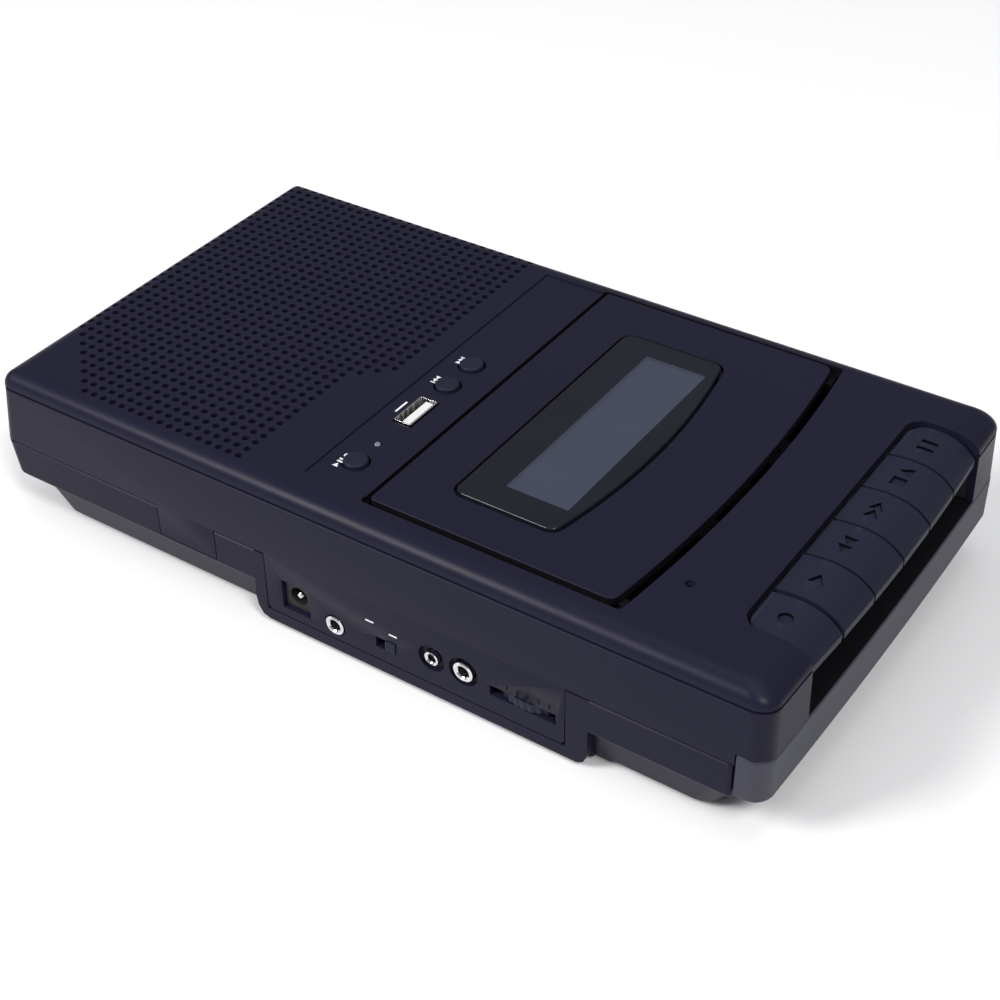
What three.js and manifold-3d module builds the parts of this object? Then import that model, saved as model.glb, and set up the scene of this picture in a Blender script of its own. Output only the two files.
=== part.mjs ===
// Portable desk-top cassette recorder with piano keys, a sprung cassette lid, a USB port and a
// carrying handle that slides out of the front.
//
// Millimetres, +Z up. The origin is the middle of the footprint on the table.
// -Y is the key end, +Y the loudspeaker end, -X the side with the jacks.

import * as THREE from "three";
import { mergeVertices } from "three/addons/utils/BufferGeometryUtils.js";
import Module from "manifold-3d";

const wasm = await Module();
wasm.setup();

// ---------------------------------------------------------------- driving dimensions

const HALF_WIDTH = 68.6;
const REAR = 124;
const FRONT = 124.3;
const FRONT_CROWN = 0.9; // how far the front bulges beyond its corners
const REAR_RADIUS = 4;
const FRONT_RADIUS = 5.5;
const FLARE = { side: 0.9, rear: 2.6, front: 0.5 }; // how far the walls lean out from the groove to the seam
const NOSE = -FRONT - FLARE.front; // foremost point of the case
const WALL = 2.2;

const FLOOR = 1.5; // underside of the case, above the table by the height of the feet
const BASE_TOP = 13.4; // where the tapered base meets the upright side
const SEAM = 24.6; // between the two case halves
const GROOVE = 43.8; // shadow line below the rounded top edge
const TOP = 49.3;
const CEILING = TOP - WALL;
const TOP_EDGE = { height: 5.05, side: 6.3, front: 10.5 }; // the rounding is widest towards the front
const BASE_TAPER = 5.1; // how far the base draws in at the bottom
const BASE_FOOT = { front: -110.8, rear: 111.4, nose: 8, tail: 5 }; // the base at its underside
const BASE_NECK = { front: -114.5, rear: 114.4, nose: 6, tail: 4 }; // the base where it meets the side
const HANDLE_BAY = { front: -115.2, nose: 1 }; // end of the lower case, behind the handle
const GAP = 0.3; // clearance between neighbouring pieces

const HANDLE = { bottom: 14.7, top: 28.2, sideEnd: -115.7, depth: 7.5 };
const ARM = { inner: 61.5, outer: 64.2, rear: -60, bottom: 18, top: 26 };

const KEYS = { left: -48.25, pitch: 16.45, gap: 0.9, rear: -104.9, front: -124.6, bow: 1.6, cheek: 1.2 };
const KEY_NAMES = ["record_key", "play_key", "rewind_key", "forward_key", "stop_eject_key", "pause_key"];
// A key's top and underside from rear to front, and the web that carries it, as [y, z].
const KEY_TOP = [
  [KEYS.rear, 48], [-107.5, 48.35], [-110.5, 48.6], [-113.5, 48.6], [-116, 48.3],
  [-118.4, 47.7], [-120.5, 46.8], [-122.3, 45.6], [-123.7, 44.2], [KEYS.front, 42.7],
];
const KEY_UNDERSIDE = [
  [-123.1, 43], [-121.4, 44.6], [-119.5, 45.6], [-117.5, 46.3],
  [-114, 46.9], [-109, 46.8], [KEYS.rear, 46.2],
];
const KEY_LIP = 41.1;
const KEY_WEB = [[-114, 47.2], [-105.6, 46.7], [-104.7, 44], [-95, 41], [-93, 34.6], [-109, 38.5]];
const KEY_WELL = { left: -48.2, right: 51.4, rear: -104, radius: 5, floor: 29.9, sill: -116.6 };
const KEY_PIVOT = { y: -92, z: 38, radius: 1.5 };

const LID = { left: -58, right: 61.8, rear: -1.9, front: -75.7, bow: 3.9, thickness: 2.4 };
const LID_GAP = { left: 2.2, right: 0.6, rear: 1.4, front: 2.9 };
const LID_PIVOT = { y: -76, z: 44.8, radius: 1.1 };
const WINDOW = {
  x: 0.6, halfWidth: 44.5, rear: -18.5, front: -50, bow: 4.4, radius: 3, bottom: 48.1, top: 49.9,
};

const STRIP = { left: -57.9, right: 61.2, rear: 19.5, depth: 0.4, lineY: 10.8 };
const BUTTONS = [["play_record_button", -46.9], ["previous_button", -4.3], ["next_button", 7.7]];
const BUTTON_RADIUS = 3.65;
const USB = { x: -19.5, width: 13.1, height: 5.7, sheet: 0.35 };
const LED_X = -37.2;
const MICROPHONE = { x: -42.5, y: -87.6 };

// On the jack side the upper case reaches down as a short tab and as the jack panel.
const TAB = { front: 45.4, rear: 66, bottom: 14.6 };
const SKIRT = { front: -68.7, rear: 27.4, bottom: 5.6 };
const SKIRT_FRAME = { front: -75.4, rear: 31, lipTop: 5.2 };
const DC_INLET = { y: 17.2, z: 13.2, size: 9 };
const JACKS = [
  { name: "earphone_jack", y: 4.0, z: 10.3, ring: 3.1, bore: 1.75, sink: 0 },
  { name: "remote_jack", y: -28.0, z: 14.4, ring: 2.25, bore: 1.25, sink: 4.2 },
  { name: "microphone_jack", y: -38.0, z: 14.8, ring: 3.15, bore: 1.75, sink: 4.5 },
];
const SWITCH = { y: -13.1, z: 11.5, slot: 6.6, knob: 3.1, height: 3.5 };
const VOLUME = { x: -56, y: -56.2, z: 12.9, radius: 13, thickness: 2.6, teeth: 36, slot: 20 };

const REELS = { x: 0.95, pitch: 42.5, y: -37.4, tip: 42.3 };
const DECK = { left: -57.4, right: 61.2, front: -81.5, rear: -2.2, bottom: 33.8, top: 35 };
const CAPSTAN = { x: 23, y: -65.6, radius: 1.1 };
const FLYWHEEL = { radius: 22, bottom: 25, top: 31.5 };
const MOTOR = { x: -32, y: -22, radius: 14, bottom: 8.5, top: 24 };
const PULLEY_RADIUS = 3.5;
const BELT = { bottom: 26.6, top: 28, thickness: 1.2 };
const PINCH = { x: 24, y: -77.5, radius: 6, pivotX: 42, pivotY: -80 };
const CASSETTE = { width: 100.4, thickness: 8.7, bottom: 36.9 };

const SPEAKER = { x: 1.4, y: 75, rim: 38.5, cone: 33.2, top: 46.6 };
const CELLS = { halfWidth: 30.8, front: 55.6, rear: 109.6, ceiling: 19.2, wall: 1.6, pitch: 15.4 };
const SCREWS = [[-58, 106], [58, 106], [-56, -96], [56, -96]];
const FEET = [[-48, 104], [48, 104], [-44, -100], [44, -100]];
const DECK_POSTS = [[-54, -8], [57, -8], [57, -78], [-54, -78]];

const PLASTIC = { color: 0x1b1b22, roughness: 0.62, metalness: 0 };
const KEY_PLASTIC = { color: 0x1f1f27, roughness: 0.55, metalness: 0 };
const GLOSS_BLACK = { color: 0x0c0d11, roughness: 0.12, metalness: 0 };
const INNER_PLASTIC = { color: 0x131318, roughness: 0.7, metalness: 0 };
const RUBBER = { color: 0x141416, roughness: 0.9, metalness: 0 };
const CHROME = { color: 0xd8dadc, roughness: 0.16, metalness: 1 };
const STEEL = { color: 0x9a9da1, roughness: 0.38, metalness: 1 };
const BRASS = { color: 0xb9974c, roughness: 0.35, metalness: 1 };
const WHITE_PLASTIC = { color: 0xe8e8e4, roughness: 0.5, metalness: 0 };
const BOARD_GREEN = { color: 0x1d4a2c, roughness: 0.5, metalness: 0 };
const PAPER = { color: 0x1a1918, roughness: 0.95, metalness: 0 };
const FERRITE = { color: 0x2b2b2d, roughness: 0.6, metalness: 0.2 };

// ---------------------------------------------------------------- solids

// Six times the enclosed volume, positive when the faces look outwards.
function signedVolume(positions, index) {
  const corner = [new THREE.Vector3(), new THREE.Vector3(), new THREE.Vector3()];
  let total = 0;
  for (let i = 0; i < index.length; i += 3) {
    corner.forEach((vector, k) => vector.fromArray(positions, index[i + k] * 3));
    total += corner[0].dot(corner[1].cross(corner[2]));
  }
  return total;
}

// A closed three.js geometry as a solid for cutting and joining.
function solid(geometry) {
  const bare = geometry.clone();
  bare.deleteAttribute("normal");
  bare.deleteAttribute("uv");
  const merged = mergeVertices(bare);
  const vertProperties = Float32Array.from(merged.attributes.position.array);
  const triVerts = Uint32Array.from(merged.index.array);
  if (signedVolume(vertProperties, triVerts) < 0) {
    for (let i = 0; i < triVerts.length; i += 3) {
      [triVerts[i], triVerts[i + 1]] = [triVerts[i + 1], triVerts[i]];
    }
  }
  return new wasm.Manifold(new wasm.Mesh({ numProp: 3, vertProperties, triVerts }));
}

function box(x0, x1, y0, y1, z0, z1) {
  const geometry = new THREE.BoxGeometry(x1 - x0, y1 - y0, z1 - z0);
  geometry.translate((x0 + x1) / 2, (y0 + y1) / 2, (z0 + z1) / 2);
  return solid(geometry);
}

// An upright cylinder.
function post(x, y, radius, z0, z1, sides = 16) {
  const geometry = new THREE.CylinderGeometry(radius, radius, z1 - z0, sides);
  geometry.rotateX(Math.PI / 2);
  geometry.translate(x, y, (z0 + z1) / 2);
  return solid(geometry);
}

// A cylinder along X.
function crossRod(y, z, radius, x0, x1, sides = 16) {
  const geometry = new THREE.CylinderGeometry(radius, radius, x1 - x0, sides);
  geometry.rotateZ(Math.PI / 2);
  geometry.translate((x0 + x1) / 2, y, z);
  return solid(geometry);
}

// A flat outline in X and Y, raised from z0 to z1.
function plate(shape, z0, z1, curveSegments = 8) {
  const geometry = new THREE.ExtrudeGeometry(shape, { depth: z1 - z0, bevelEnabled: false, curveSegments });
  geometry.translate(0, 0, z0);
  return solid(geometry);
}

// A side view given as [y, z] points, spread across the width from x0 to x1.
function sideProfile(points, x0, x1) {
  const shape = new THREE.Shape(points.map(([y, z]) => new THREE.Vector2(y, z)));
  const geometry = new THREE.ExtrudeGeometry(shape, { depth: x1 - x0, bevelEnabled: false });
  const turn = new THREE.Matrix4().set(0, 0, 1, x0, 1, 0, 0, 0, 0, 1, 0, 0, 0, 0, 0, 1);
  geometry.applyMatrix4(turn);
  return solid(geometry);
}

// A turned piece: [radius, z] points, with an upright axis at x, y.
function turned(x, y, points, sides = 32) {
  const profile = points.map(([radius, z]) => new THREE.Vector2(radius, z));
  const geometry = new THREE.LatheGeometry(profile, sides);
  geometry.rotateX(Math.PI / 2);
  geometry.translate(x, y, 0);
  return solid(geometry);
}

// A turned piece with its axis along X: [radius, x] points around y, z.
function turnedAcross(y, z, points, sides = 24) {
  const profile = points.map(([radius, along]) => new THREE.Vector2(radius, along));
  const geometry = new THREE.LatheGeometry(profile, sides);
  geometry.rotateZ(-Math.PI / 2);
  geometry.translate(0, y, z);
  return solid(geometry);
}

function join(...pieces) {
  return pieces.reduce((whole, piece) => whole.add(piece));
}

function cut(whole, ...tools) {
  return tools.reduce((rest, tool) => rest.subtract(tool), whole);
}

const part = new THREE.Group();

function add(name, shape, finish) {
  const mesh = shape.getMesh();
  const geometry = new THREE.BufferGeometry();
  geometry.setAttribute("position", new THREE.BufferAttribute(Float32Array.from(mesh.vertProperties), 3));
  geometry.setIndex(new THREE.BufferAttribute(Uint32Array.from(mesh.triVerts), 1));
  geometry.computeVertexNormals();
  const node = new THREE.Mesh(geometry, new THREE.MeshStandardMaterial(finish));
  node.name = name;
  part.add(node);
}

// ---------------------------------------------------------------- case outline

const CORNER_STEPS = 6;
const CROWN_STEPS = 6;

// Plan outline drawn in from the full body by inset. Lean runs from 0 at the groove to 1 at the
// seam, as the far wall and the end walls lean out. ends sets the front, the rear, their corner
// radii (nose and tail) or how far the front alone is drawn in (frontInset).
function bodyOutline(inset, lean = 1, ends = {}) {
  const left = -HALF_WIDTH + inset;
  const right = HALF_WIDTH + FLARE.side * lean - inset;
  const rear = ends.rear ?? REAR + FLARE.rear * lean - inset;
  const rearRadius = Math.max(ends.tail ?? REAR_RADIUS - inset, 0.8);
  const nose = Math.max(ends.nose ?? FRONT_RADIUS - inset, 0.8);
  const crown = ends.front === undefined ? FRONT_CROWN : 0;
  const foremost = ends.front ?? -FRONT - FLARE.front * lean + (ends.frontInset ?? inset);
  const shoulder = foremost + crown;
  const points = [];
  const corner = (cx, cy, radius, from) => {
    for (let i = 0; i <= CORNER_STEPS; i += 1) {
      const angle = from + (i / CORNER_STEPS) * (Math.PI / 2);
      points.push([cx + radius * Math.cos(angle), cy + radius * Math.sin(angle)]);
    }
  };
  corner(right - rearRadius, rear - rearRadius, rearRadius, 0);
  corner(left + rearRadius, rear - rearRadius, rearRadius, Math.PI / 2);
  corner(left + nose, shoulder + nose, nose, Math.PI);
  for (let i = 1; i < CROWN_STEPS; i += 1) {
    const along = i / CROWN_STEPS;
    const across = 2 * along - 1;
    points.push([left + nose + along * (right - left - 2 * nose), shoulder - crown * (1 - across * across)]);
  }
  corner(right - nose, shoulder + nose, nose, (3 * Math.PI) / 2);
  return points;
}

// A closed body through outlines that all have the same number of points.
function loft(levels) {
  const count = levels[0].outline.length;
  const positions = levels.flatMap(({ outline, z }) => outline.flatMap(([x, y]) => [x, y, z]));
  const index = [];
  for (let level = 0; level + 1 < levels.length; level += 1) {
    for (let i = 0; i < count; i += 1) {
      const a = level * count + i;
      const b = level * count + ((i + 1) % count);
      index.push(a, b, b + count, a, b + count, a + count);
    }
  }
  const flat = levels[0].outline.map(([x, y]) => new THREE.Vector2(x, y));
  const lid = THREE.ShapeUtils.triangulateShape(flat, []);
  const last = (levels.length - 1) * count;
  lid.forEach(([a, b, c]) => index.push(a, c, b, a + last, b + last, c + last));
  const geometry = new THREE.BufferGeometry();
  geometry.setAttribute("position", new THREE.Float32BufferAttribute(positions, 3));
  geometry.setIndex(index);
  return solid(geometry);
}

// Where the two handle arms lie across the width, as [x0, x1], grown by a clearance.
function armSpans(grow = 0) {
  return [
    [-ARM.outer - grow, -ARM.inner + grow],
    [ARM.inner - grow, ARM.outer + grow],
  ];
}

// ---------------------------------------------------------------- upper case

function roundedShell() {
  const levels = [
    { outline: bodyOutline(0, 1), z: SEAM },
    { outline: bodyOutline(0, 0), z: GROOVE - 0.4 },
    { outline: bodyOutline(0.6, 0), z: GROOVE - 0.35 },
    { outline: bodyOutline(0.6, 0), z: GROOVE + 0.35 },
  ];
  const steps = 5;
  for (let i = 0; i <= steps; i += 1) {
    const angle = (i / steps) * (Math.PI / 2);
    const drawnIn = 1 - Math.cos(angle);
    const inset = TOP_EDGE.side * drawnIn;
    const ends = { frontInset: TOP_EDGE.front * drawnIn, nose: FRONT_RADIUS - inset / 2 };
    levels.push({ outline: bodyOutline(inset, 0, ends), z: TOP - TOP_EDGE.height * (1 - Math.sin(angle)) });
  }
  const cavity = loft([
    { outline: bodyOutline(WALL, 1), z: SEAM - 1 },
    { outline: bodyOutline(WALL, 0), z: CEILING - 4.5 },
    { outline: bodyOutline(WALL + 1.3, 0, { frontInset: WALL + 2.4 }), z: CEILING - 1.7 },
    { outline: bodyOutline(WALL + 3.2, 0, { frontInset: WALL + 7.5 }), z: CEILING },
  ]);
  return loft(levels).subtract(cavity);
}

// Outline of the cassette lid, or of the hole it closes when it is grown by the gaps.
function lidShape(gap = { left: 0, right: 0, rear: 0, front: 0 }) {
  const left = LID.left - gap.left;
  const right = LID.right + gap.right;
  const back = LID.rear + gap.rear;
  const ends = LID.front - gap.front;
  const shape = new THREE.Shape();
  shape.moveTo(left, ends);
  shape.quadraticCurveTo((left + right) / 2, ends - 2 * LID.bow, right, ends);
  shape.lineTo(right, back);
  shape.lineTo(left, back);
  shape.closePath();
  return shape;
}

// The well that the keys sit in, open to the front, with its rear corners rounded.
function keyWellShape() {
  const { left, right, rear, radius } = KEY_WELL;
  const shape = new THREE.Shape();
  shape.moveTo(left, NOSE - 5);
  shape.lineTo(right, NOSE - 5);
  shape.lineTo(right, rear - radius);
  shape.absarc(right - radius, rear - radius, radius, 0, Math.PI / 2);
  shape.absarc(left + radius, rear - radius, radius, Math.PI / 2, Math.PI);
  shape.closePath();
  return shape;
}

function upperCaseRibs() {
  const { left, right, rear, floor } = KEY_WELL;
  const ceiling = CEILING + 0.1;
  const well = { left: LID.left - LID_GAP.left, right: LID.right + LID_GAP.right, bottom: DECK.top + 0.6 };
  const wellRear = LID.rear + LID_GAP.rear;
  const lidFront = LID.front - LID_GAP.front - 1.4;
  const cheek = [
    [-122.5, floor - 0.1], [-122.5, 45], [-118, 46.6], [-113, 47.3], [rear, 47.3], [rear, floor - 0.1],
  ];
  const ribs = [
    box(-66.5, 66.5, -122.5, -112, SEAM + 3.9, floor),
    box(-66.5, 66.5, -113.5, -112, SEAM, 35.5),
    sideProfile(cheek, left - 1.5, left),
    sideProfile(cheek, right, right + 1.5),
    box(left - 1.5, right + 1.5, rear, rear + 1.4, 44.6, ceiling),
    box(well.left - 1.4, well.left, lidFront, wellRear + 1.4, well.bottom, ceiling),
    box(well.right, well.right + 1.4, lidFront, wellRear + 1.4, well.bottom, ceiling),
    box(well.left - 1.4, well.right + 1.4, wellRear, wellRear + 1.4, well.bottom, ceiling),
    box(left - 3.9, left - 1.4, -95, -89, 34, ceiling),
    box(right + 0.4, right + 2.9, -95, -89, 34, ceiling),
  ];
  SCREWS.forEach(([x, y]) => ribs.push(post(x, y, 3.5, SEAM + 1.4, ceiling)));
  return ribs;
}

function jackPanelCuts() {
  const through = [-HALF_WIDTH - 1, -HALF_WIDTH + WALL + 0.5];
  const half = DC_INLET.size / 2 + GAP;
  const cuts = [
    box(...through, DC_INLET.y - half, DC_INLET.y + half, DC_INLET.z - half, DC_INLET.z + half),
    box(...through, SWITCH.y - SWITCH.slot / 2, SWITCH.y + SWITCH.slot / 2,
      SWITCH.z - SWITCH.height / 2, SWITCH.z + SWITCH.height / 2),
    box(...through, VOLUME.y - VOLUME.slot / 2, VOLUME.y + VOLUME.slot / 2,
      VOLUME.z - VOLUME.thickness / 2 - 0.4, VOLUME.z + VOLUME.thickness / 2 + 0.4),
  ];
  JACKS.forEach(({ y, z, ring, sink }) => {
    cuts.push(crossRod(y, z, ring + GAP, ...through));
    if (sink > 0) {
      cuts.push(crossRod(y, z, sink, -HALF_WIDTH - 1, -HALF_WIDTH + 1.2));
    }
  });
  return cuts;
}

function buildUpperCase() {
  const tab = box(-HALF_WIDTH, -HALF_WIDTH + WALL, TAB.front, TAB.rear, TAB.bottom, SEAM + 0.1);
  const skirt = box(-HALF_WIDTH, -HALF_WIDTH + WALL, SKIRT.front, SKIRT.rear, SKIRT.bottom, SEAM + 0.1);
  const body = join(roundedShell(), tab, skirt, ...upperCaseRibs());
  const armSlots = armSpans(GAP).map(([x0, x1]) => box(x0, x1, -116, -111, SEAM - 1, ARM.top + GAP));
  const cuts = [
    plate(keyWellShape(), KEY_WELL.floor, TOP + 1),
    box(KEY_WELL.left, KEY_WELL.right, -130, KEY_WELL.sill, HANDLE.top + GAP - 0.1, KEY_WELL.floor + 0.1),
    box(-70, 70, -130, -115.4, SEAM - 1, HANDLE.top + GAP),
    ...armSlots,
    plate(lidShape(LID_GAP), CEILING - 1, TOP + 1, 10),
    box(STRIP.left, STRIP.right, LID.rear, STRIP.rear, TOP - STRIP.depth, TOP + 1),
    box(USB.x - USB.width / 2 - 0.4, USB.x + USB.width / 2 + 0.4,
      STRIP.lineY - USB.height / 2 - 0.4, STRIP.lineY + USB.height / 2 + 0.4, CEILING - 1, TOP + 1),
    ...BUTTONS.map(([, x]) => post(x, STRIP.lineY, BUTTON_RADIUS + GAP, CEILING - 1, TOP + 1, 24)),
    post(LED_X, STRIP.lineY, 1.2, CEILING - 1, TOP + 1, 12),
    post(MICROPHONE.x, MICROPHONE.y, 0.8, CEILING - 1, TOP + 1, 10),
    crossRod(KEY_PIVOT.y, KEY_PIVOT.z, KEY_PIVOT.radius + GAP, -60, 60),
    crossRod(LID_PIVOT.y, LID_PIVOT.z, LID_PIVOT.radius + GAP, -62.5, 65),
    ...SCREWS.map(([x, y]) => post(x, y, 1.45, SEAM - 1, 40, 10)),
    ...jackPanelCuts(),
  ];
  add("upper_case", cut(body, ...cuts), PLASTIC);
}

// ---------------------------------------------------------------- lower case

function lowerShell() {
  const level = (inset, lean, ends, z) => ({ outline: bodyOutline(inset, lean, ends), z });
  const outer = loft([
    level(BASE_TAPER, 1, BASE_FOOT, FLOOR),
    level(1.9, 1, BASE_NECK, BASE_TOP - 0.8),
    level(1.2, 0.1, { front: -114.9, nose: 3, tail: 3 }, BASE_TOP - 0.4),
    level(0.4, 0.15, HANDLE_BAY, BASE_TOP),
    level(0, 0.2, HANDLE_BAY, BASE_TOP + 0.7),
    level(0, 1, HANDLE_BAY, SEAM - GAP),
  ]);
  const cavity = loft([
    level(BASE_TAPER + WALL - 0.3, 1, { front: -108.4, rear: 109.2, nose: 6, tail: 3 }, FLOOR + WALL),
    level(1.9 + WALL, 1, { front: -112.2, rear: 112.2, nose: 4, tail: 2 }, BASE_TOP + 0.4),
    level(WALL + 0.2, 0.2, { front: -113, nose: 1 }, BASE_TOP + WALL),
    level(WALL, 1, { front: -113, nose: 1 }, SEAM + 1),
  ]);
  return outer.subtract(cavity);
}

// The flush frame round the jack panel: a rear border, a bottom lip and a front border.
function jackPanelFrame() {
  const side = -HALF_WIDTH;
  return [
    box(side, -64.6, SKIRT.rear + 0.4, SKIRT_FRAME.rear, FLOOR, SEAM - GAP),
    box(side, -64.6, SKIRT_FRAME.front, SKIRT.front - GAP, FLOOR, SEAM - GAP),
    box(side, -60.8, SKIRT_FRAME.front, SKIRT_FRAME.rear, FLOOR, SKIRT_FRAME.lipTop),
  ];
}

function batteryBox() {
  const { halfWidth, front, rear, ceiling, wall } = CELLS;
  const shell = box(-halfWidth - wall, halfWidth + wall, front - wall, rear + wall, FLOOR, ceiling + wall);
  const hollow = box(-halfWidth, halfWidth, front, rear, FLOOR - 1, ceiling);
  const rabbet = box(-halfWidth - 1.5, halfWidth + 1.5, front - 1, rear + 1, FLOOR - 1, FLOOR + 1.5);
  return { shell, cuts: [hollow, rabbet] };
}

function buildLowerCase() {
  const cells = batteryBox();
  const tubes = SCREWS.map(([x, y]) => post(x, y, 4, FLOOR, SEAM + 1.1));
  const posts = DECK_POSTS.map(([x, y]) => post(x, y, 3, FLOOR + 1, DECK.bottom - GAP, 12));
  const notch = box(-70, -62.2, SKIRT.front - 0.2, SKIRT.rear + 0.3, SKIRT_FRAME.lipTop, SEAM + 1);
  const tabNotch = box(-70, -60, TAB.front - GAP, TAB.rear + GAP, TAB.bottom - GAP, SEAM + 1);
  const shell = cut(lowerShell(), notch, tabNotch);
  const backing = box(-66, -64.4, 43, 68.4, 12, SEAM - 1);
  const body = join(shell, backing, ...jackPanelFrame(), cells.shell, ...tubes, ...posts);
  const armSlots = armSpans(GAP).map(([x0, x1]) => box(x0, x1, -117, -110, ARM.bottom - GAP, SEAM + 1));
  const cuts = [
    ...cells.cuts,
    ...armSlots,
    ...SCREWS.map(([x, y]) => post(x, y, 2.9, FLOOR - 1, 12, 12)),
    ...SCREWS.map(([x, y]) => post(x, y, 1.45, FLOOR, SEAM + 3, 10)),
    ...FEET.map(([x, y]) => post(x, y, 4.8, FLOOR - 1, FLOOR + 0.6, 20)),
  ];
  add("lower_case", cut(body, ...cuts), PLASTIC);
}

function buildBatteryDoor() {
  const { halfWidth, front, rear } = CELLS;
  const cover = box(-halfWidth - 1.1, halfWidth + 1.1, front - 0.6, rear + 0.6, FLOOR, FLOOR + 1.2);
  const ribs = [-CELLS.pitch, 0, CELLS.pitch].map(
    (x) => box(x - 0.6, x + 0.6, front + 6, rear - 6, FLOOR + 1, FLOOR + 2),
  );
  const latch = box(-6, 6, rear - 1.4, rear - 0.2, FLOOR + 1, FLOOR + 3.6);
  add("battery_door", join(cover, ...ribs, latch), PLASTIC);
}

// Sheet contacts for the four cells: [name, end, cells touched, which of them has the spring].
function buildBatteryContacts() {
  const cellX = (i) => (i - 1.5) * CELLS.pitch;
  const axisZ = 11.2;
  const contacts = [
    ["battery_contact_front_left", "front", [0, 1], [1]],
    ["battery_contact_front_right", "front", [2, 3], [3]],
    ["battery_contact_rear_middle", "rear", [1, 2], [2]],
    ["battery_contact_rear_left", "rear", [0], [0]],
    ["battery_contact_rear_right", "rear", [3], []],
  ];
  contacts.forEach(([name, end, cells, sprung]) => {
    const outward = end === "front" ? -1 : 1;
    const wallY = end === "front" ? CELLS.front : CELLS.rear;
    const faceY = wallY - outward * 0.3;
    const backY = wallY - outward * 0.8;
    const x0 = cellX(cells[0]) - 6;
    const x1 = cellX(cells[cells.length - 1]) + 6;
    let sheet = box(x0, x1, Math.min(faceY, backY), Math.max(faceY, backY), 5.5, 17);
    sprung.forEach((cell) => {
      const coil = new THREE.CylinderGeometry(2.2, 4.6, 2.6, 12);
      coil.rotateX(outward > 0 ? Math.PI : 0);
      coil.translate(cellX(cell), wallY - outward * 2.05, axisZ);
      sheet = sheet.add(solid(coil));
    });
    add(name, sheet, CHROME);
  });
}

function buildFasteners() {
  SCREWS.forEach(([x, y], i) => {
    const head = post(x, y, 2.5, 9.8, 11.9, 12);
    const across = box(x - 3, x + 3, y - 0.35, y + 0.35, 9, 10.6);
    const along = box(x - 0.35, x + 0.35, y - 3, y + 3, 9, 10.6);
    const shank = post(x, y, 1.15, 11.8, 38, 8);
    add(`case_screw_${i + 1}`, cut(head, across, along).add(shank), STEEL);
  });
  FEET.forEach(([x, y], i) => {
    const pad = [[0, 0], [3.9, 0], [4.5, 0.5], [4.5, FLOOR + 0.3], [0, FLOOR + 0.3]];
    add(`foot_${i + 1}`, turned(x, y, pad, 20), RUBBER);
  });
}

// ---------------------------------------------------------------- handle

// A bar across the front that wraps both corners, on two flat arms that run back into the case.
function buildHandle() {
  const outer = loft([
    { outline: bodyOutline(0.5), z: HANDLE.bottom },
    { outline: bodyOutline(0), z: HANDLE.bottom + 0.5 },
    { outline: bodyOutline(0), z: HANDLE.top },
  ]);
  const inner = loft([
    { outline: bodyOutline(HANDLE.depth, 1, { front: NOSE + HANDLE.depth, nose: 3 }), z: HANDLE.bottom - 1 },
    { outline: bodyOutline(HANDLE.depth, 1, { front: NOSE + HANDLE.depth, nose: 3 }), z: HANDLE.top + 1 },
  ]);
  const rest = box(-70, 70, HANDLE.sideEnd, 130, HANDLE.bottom - 1, HANDLE.top + 1);
  const arms = armSpans().map(([x0, x1]) => {
    const stop = x0 > 0 ? [x0 - 1.2, x1] : [x0, x1 + 1.2];
    const flat = box(x0, x1, -118.5, ARM.rear, ARM.bottom, ARM.top);
    return flat.add(box(...stop, ARM.rear - 3, ARM.rear, ARM.bottom, ARM.top));
  });
  add("carrying_handle", join(cut(outer, inner, rest), ...arms), PLASTIC);
}

// ---------------------------------------------------------------- keys

// What rounds off the rear outer corner of an end key: inwards is 1 or -1 along X.
function keyCornerCut(edge, inwards) {
  const { radius } = KEY_WELL;
  const cx = edge + inwards * radius;
  const cy = KEYS.rear - radius;
  const shape = new THREE.Shape();
  shape.moveTo(edge - inwards, KEYS.rear + 1);
  shape.lineTo(cx, KEYS.rear + 1);
  shape.absarc(cx, cy, radius, Math.PI / 2, inwards > 0 ? Math.PI : 0, inwards < 0);
  shape.lineTo(edge - inwards, cy);
  shape.closePath();
  return plate(shape, 30, TOP);
}

// The row of keys bows forward in the middle, as the case front does.
function bowed(key) {
  const half = (KEY_NAMES.length * KEYS.pitch) / 2;
  return key.warp((vertex) => {
    const across = (vertex[0] - KEYS.left - half) / half;
    const reach = Math.max(KEYS.rear - vertex[1], 0) / (KEYS.rear - KEYS.front);
    vertex[1] += KEYS.bow * across ** 2 * reach;
  });
}

function buildKey(name, i) {
  const x0 = KEYS.left + i * KEYS.pitch + KEYS.gap / 2;
  const x1 = x0 + KEYS.pitch - KEYS.gap;
  const middle = (x0 + x1) / 2;
  const lip = [[KEYS.front, KEY_LIP], [KEYS.front + 1.6, KEY_LIP]];
  const skin = sideProfile([...KEY_TOP, ...lip, ...KEY_UNDERSIDE], x0, x1);
  const cheek = [...KEY_TOP, lip[0], [-108, 42.4], [KEYS.rear, 45]];
  const cheeks = [sideProfile(cheek, x0, x0 + KEYS.cheek), sideProfile(cheek, x1 - KEYS.cheek, x1)];
  const web = sideProfile(KEY_WEB, middle - 2.5, middle + 2.5);
  const boss = crossRod(KEY_PIVOT.y, KEY_PIVOT.z, 3.2, middle - 2.5, middle + 2.5);
  let key = bowed(join(skin, ...cheeks, web, boss));
  if (i === 0) {
    key = key.subtract(keyCornerCut(x0, 1));
  }
  if (i === KEY_NAMES.length - 1) {
    key = key.subtract(keyCornerCut(x1, -1));
  }
  add(name, key.subtract(crossRod(KEY_PIVOT.y, KEY_PIVOT.z, KEY_PIVOT.radius + 0.08, x0, x1)), KEY_PLASTIC);
}

function buildKeys() {
  KEY_NAMES.forEach(buildKey);
  const { y, z, radius } = KEY_PIVOT;
  add("key_shaft", crossRod(y, z, radius, KEY_WELL.left - 3.7, KEY_WELL.right + 2.7), STEEL);
}

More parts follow.
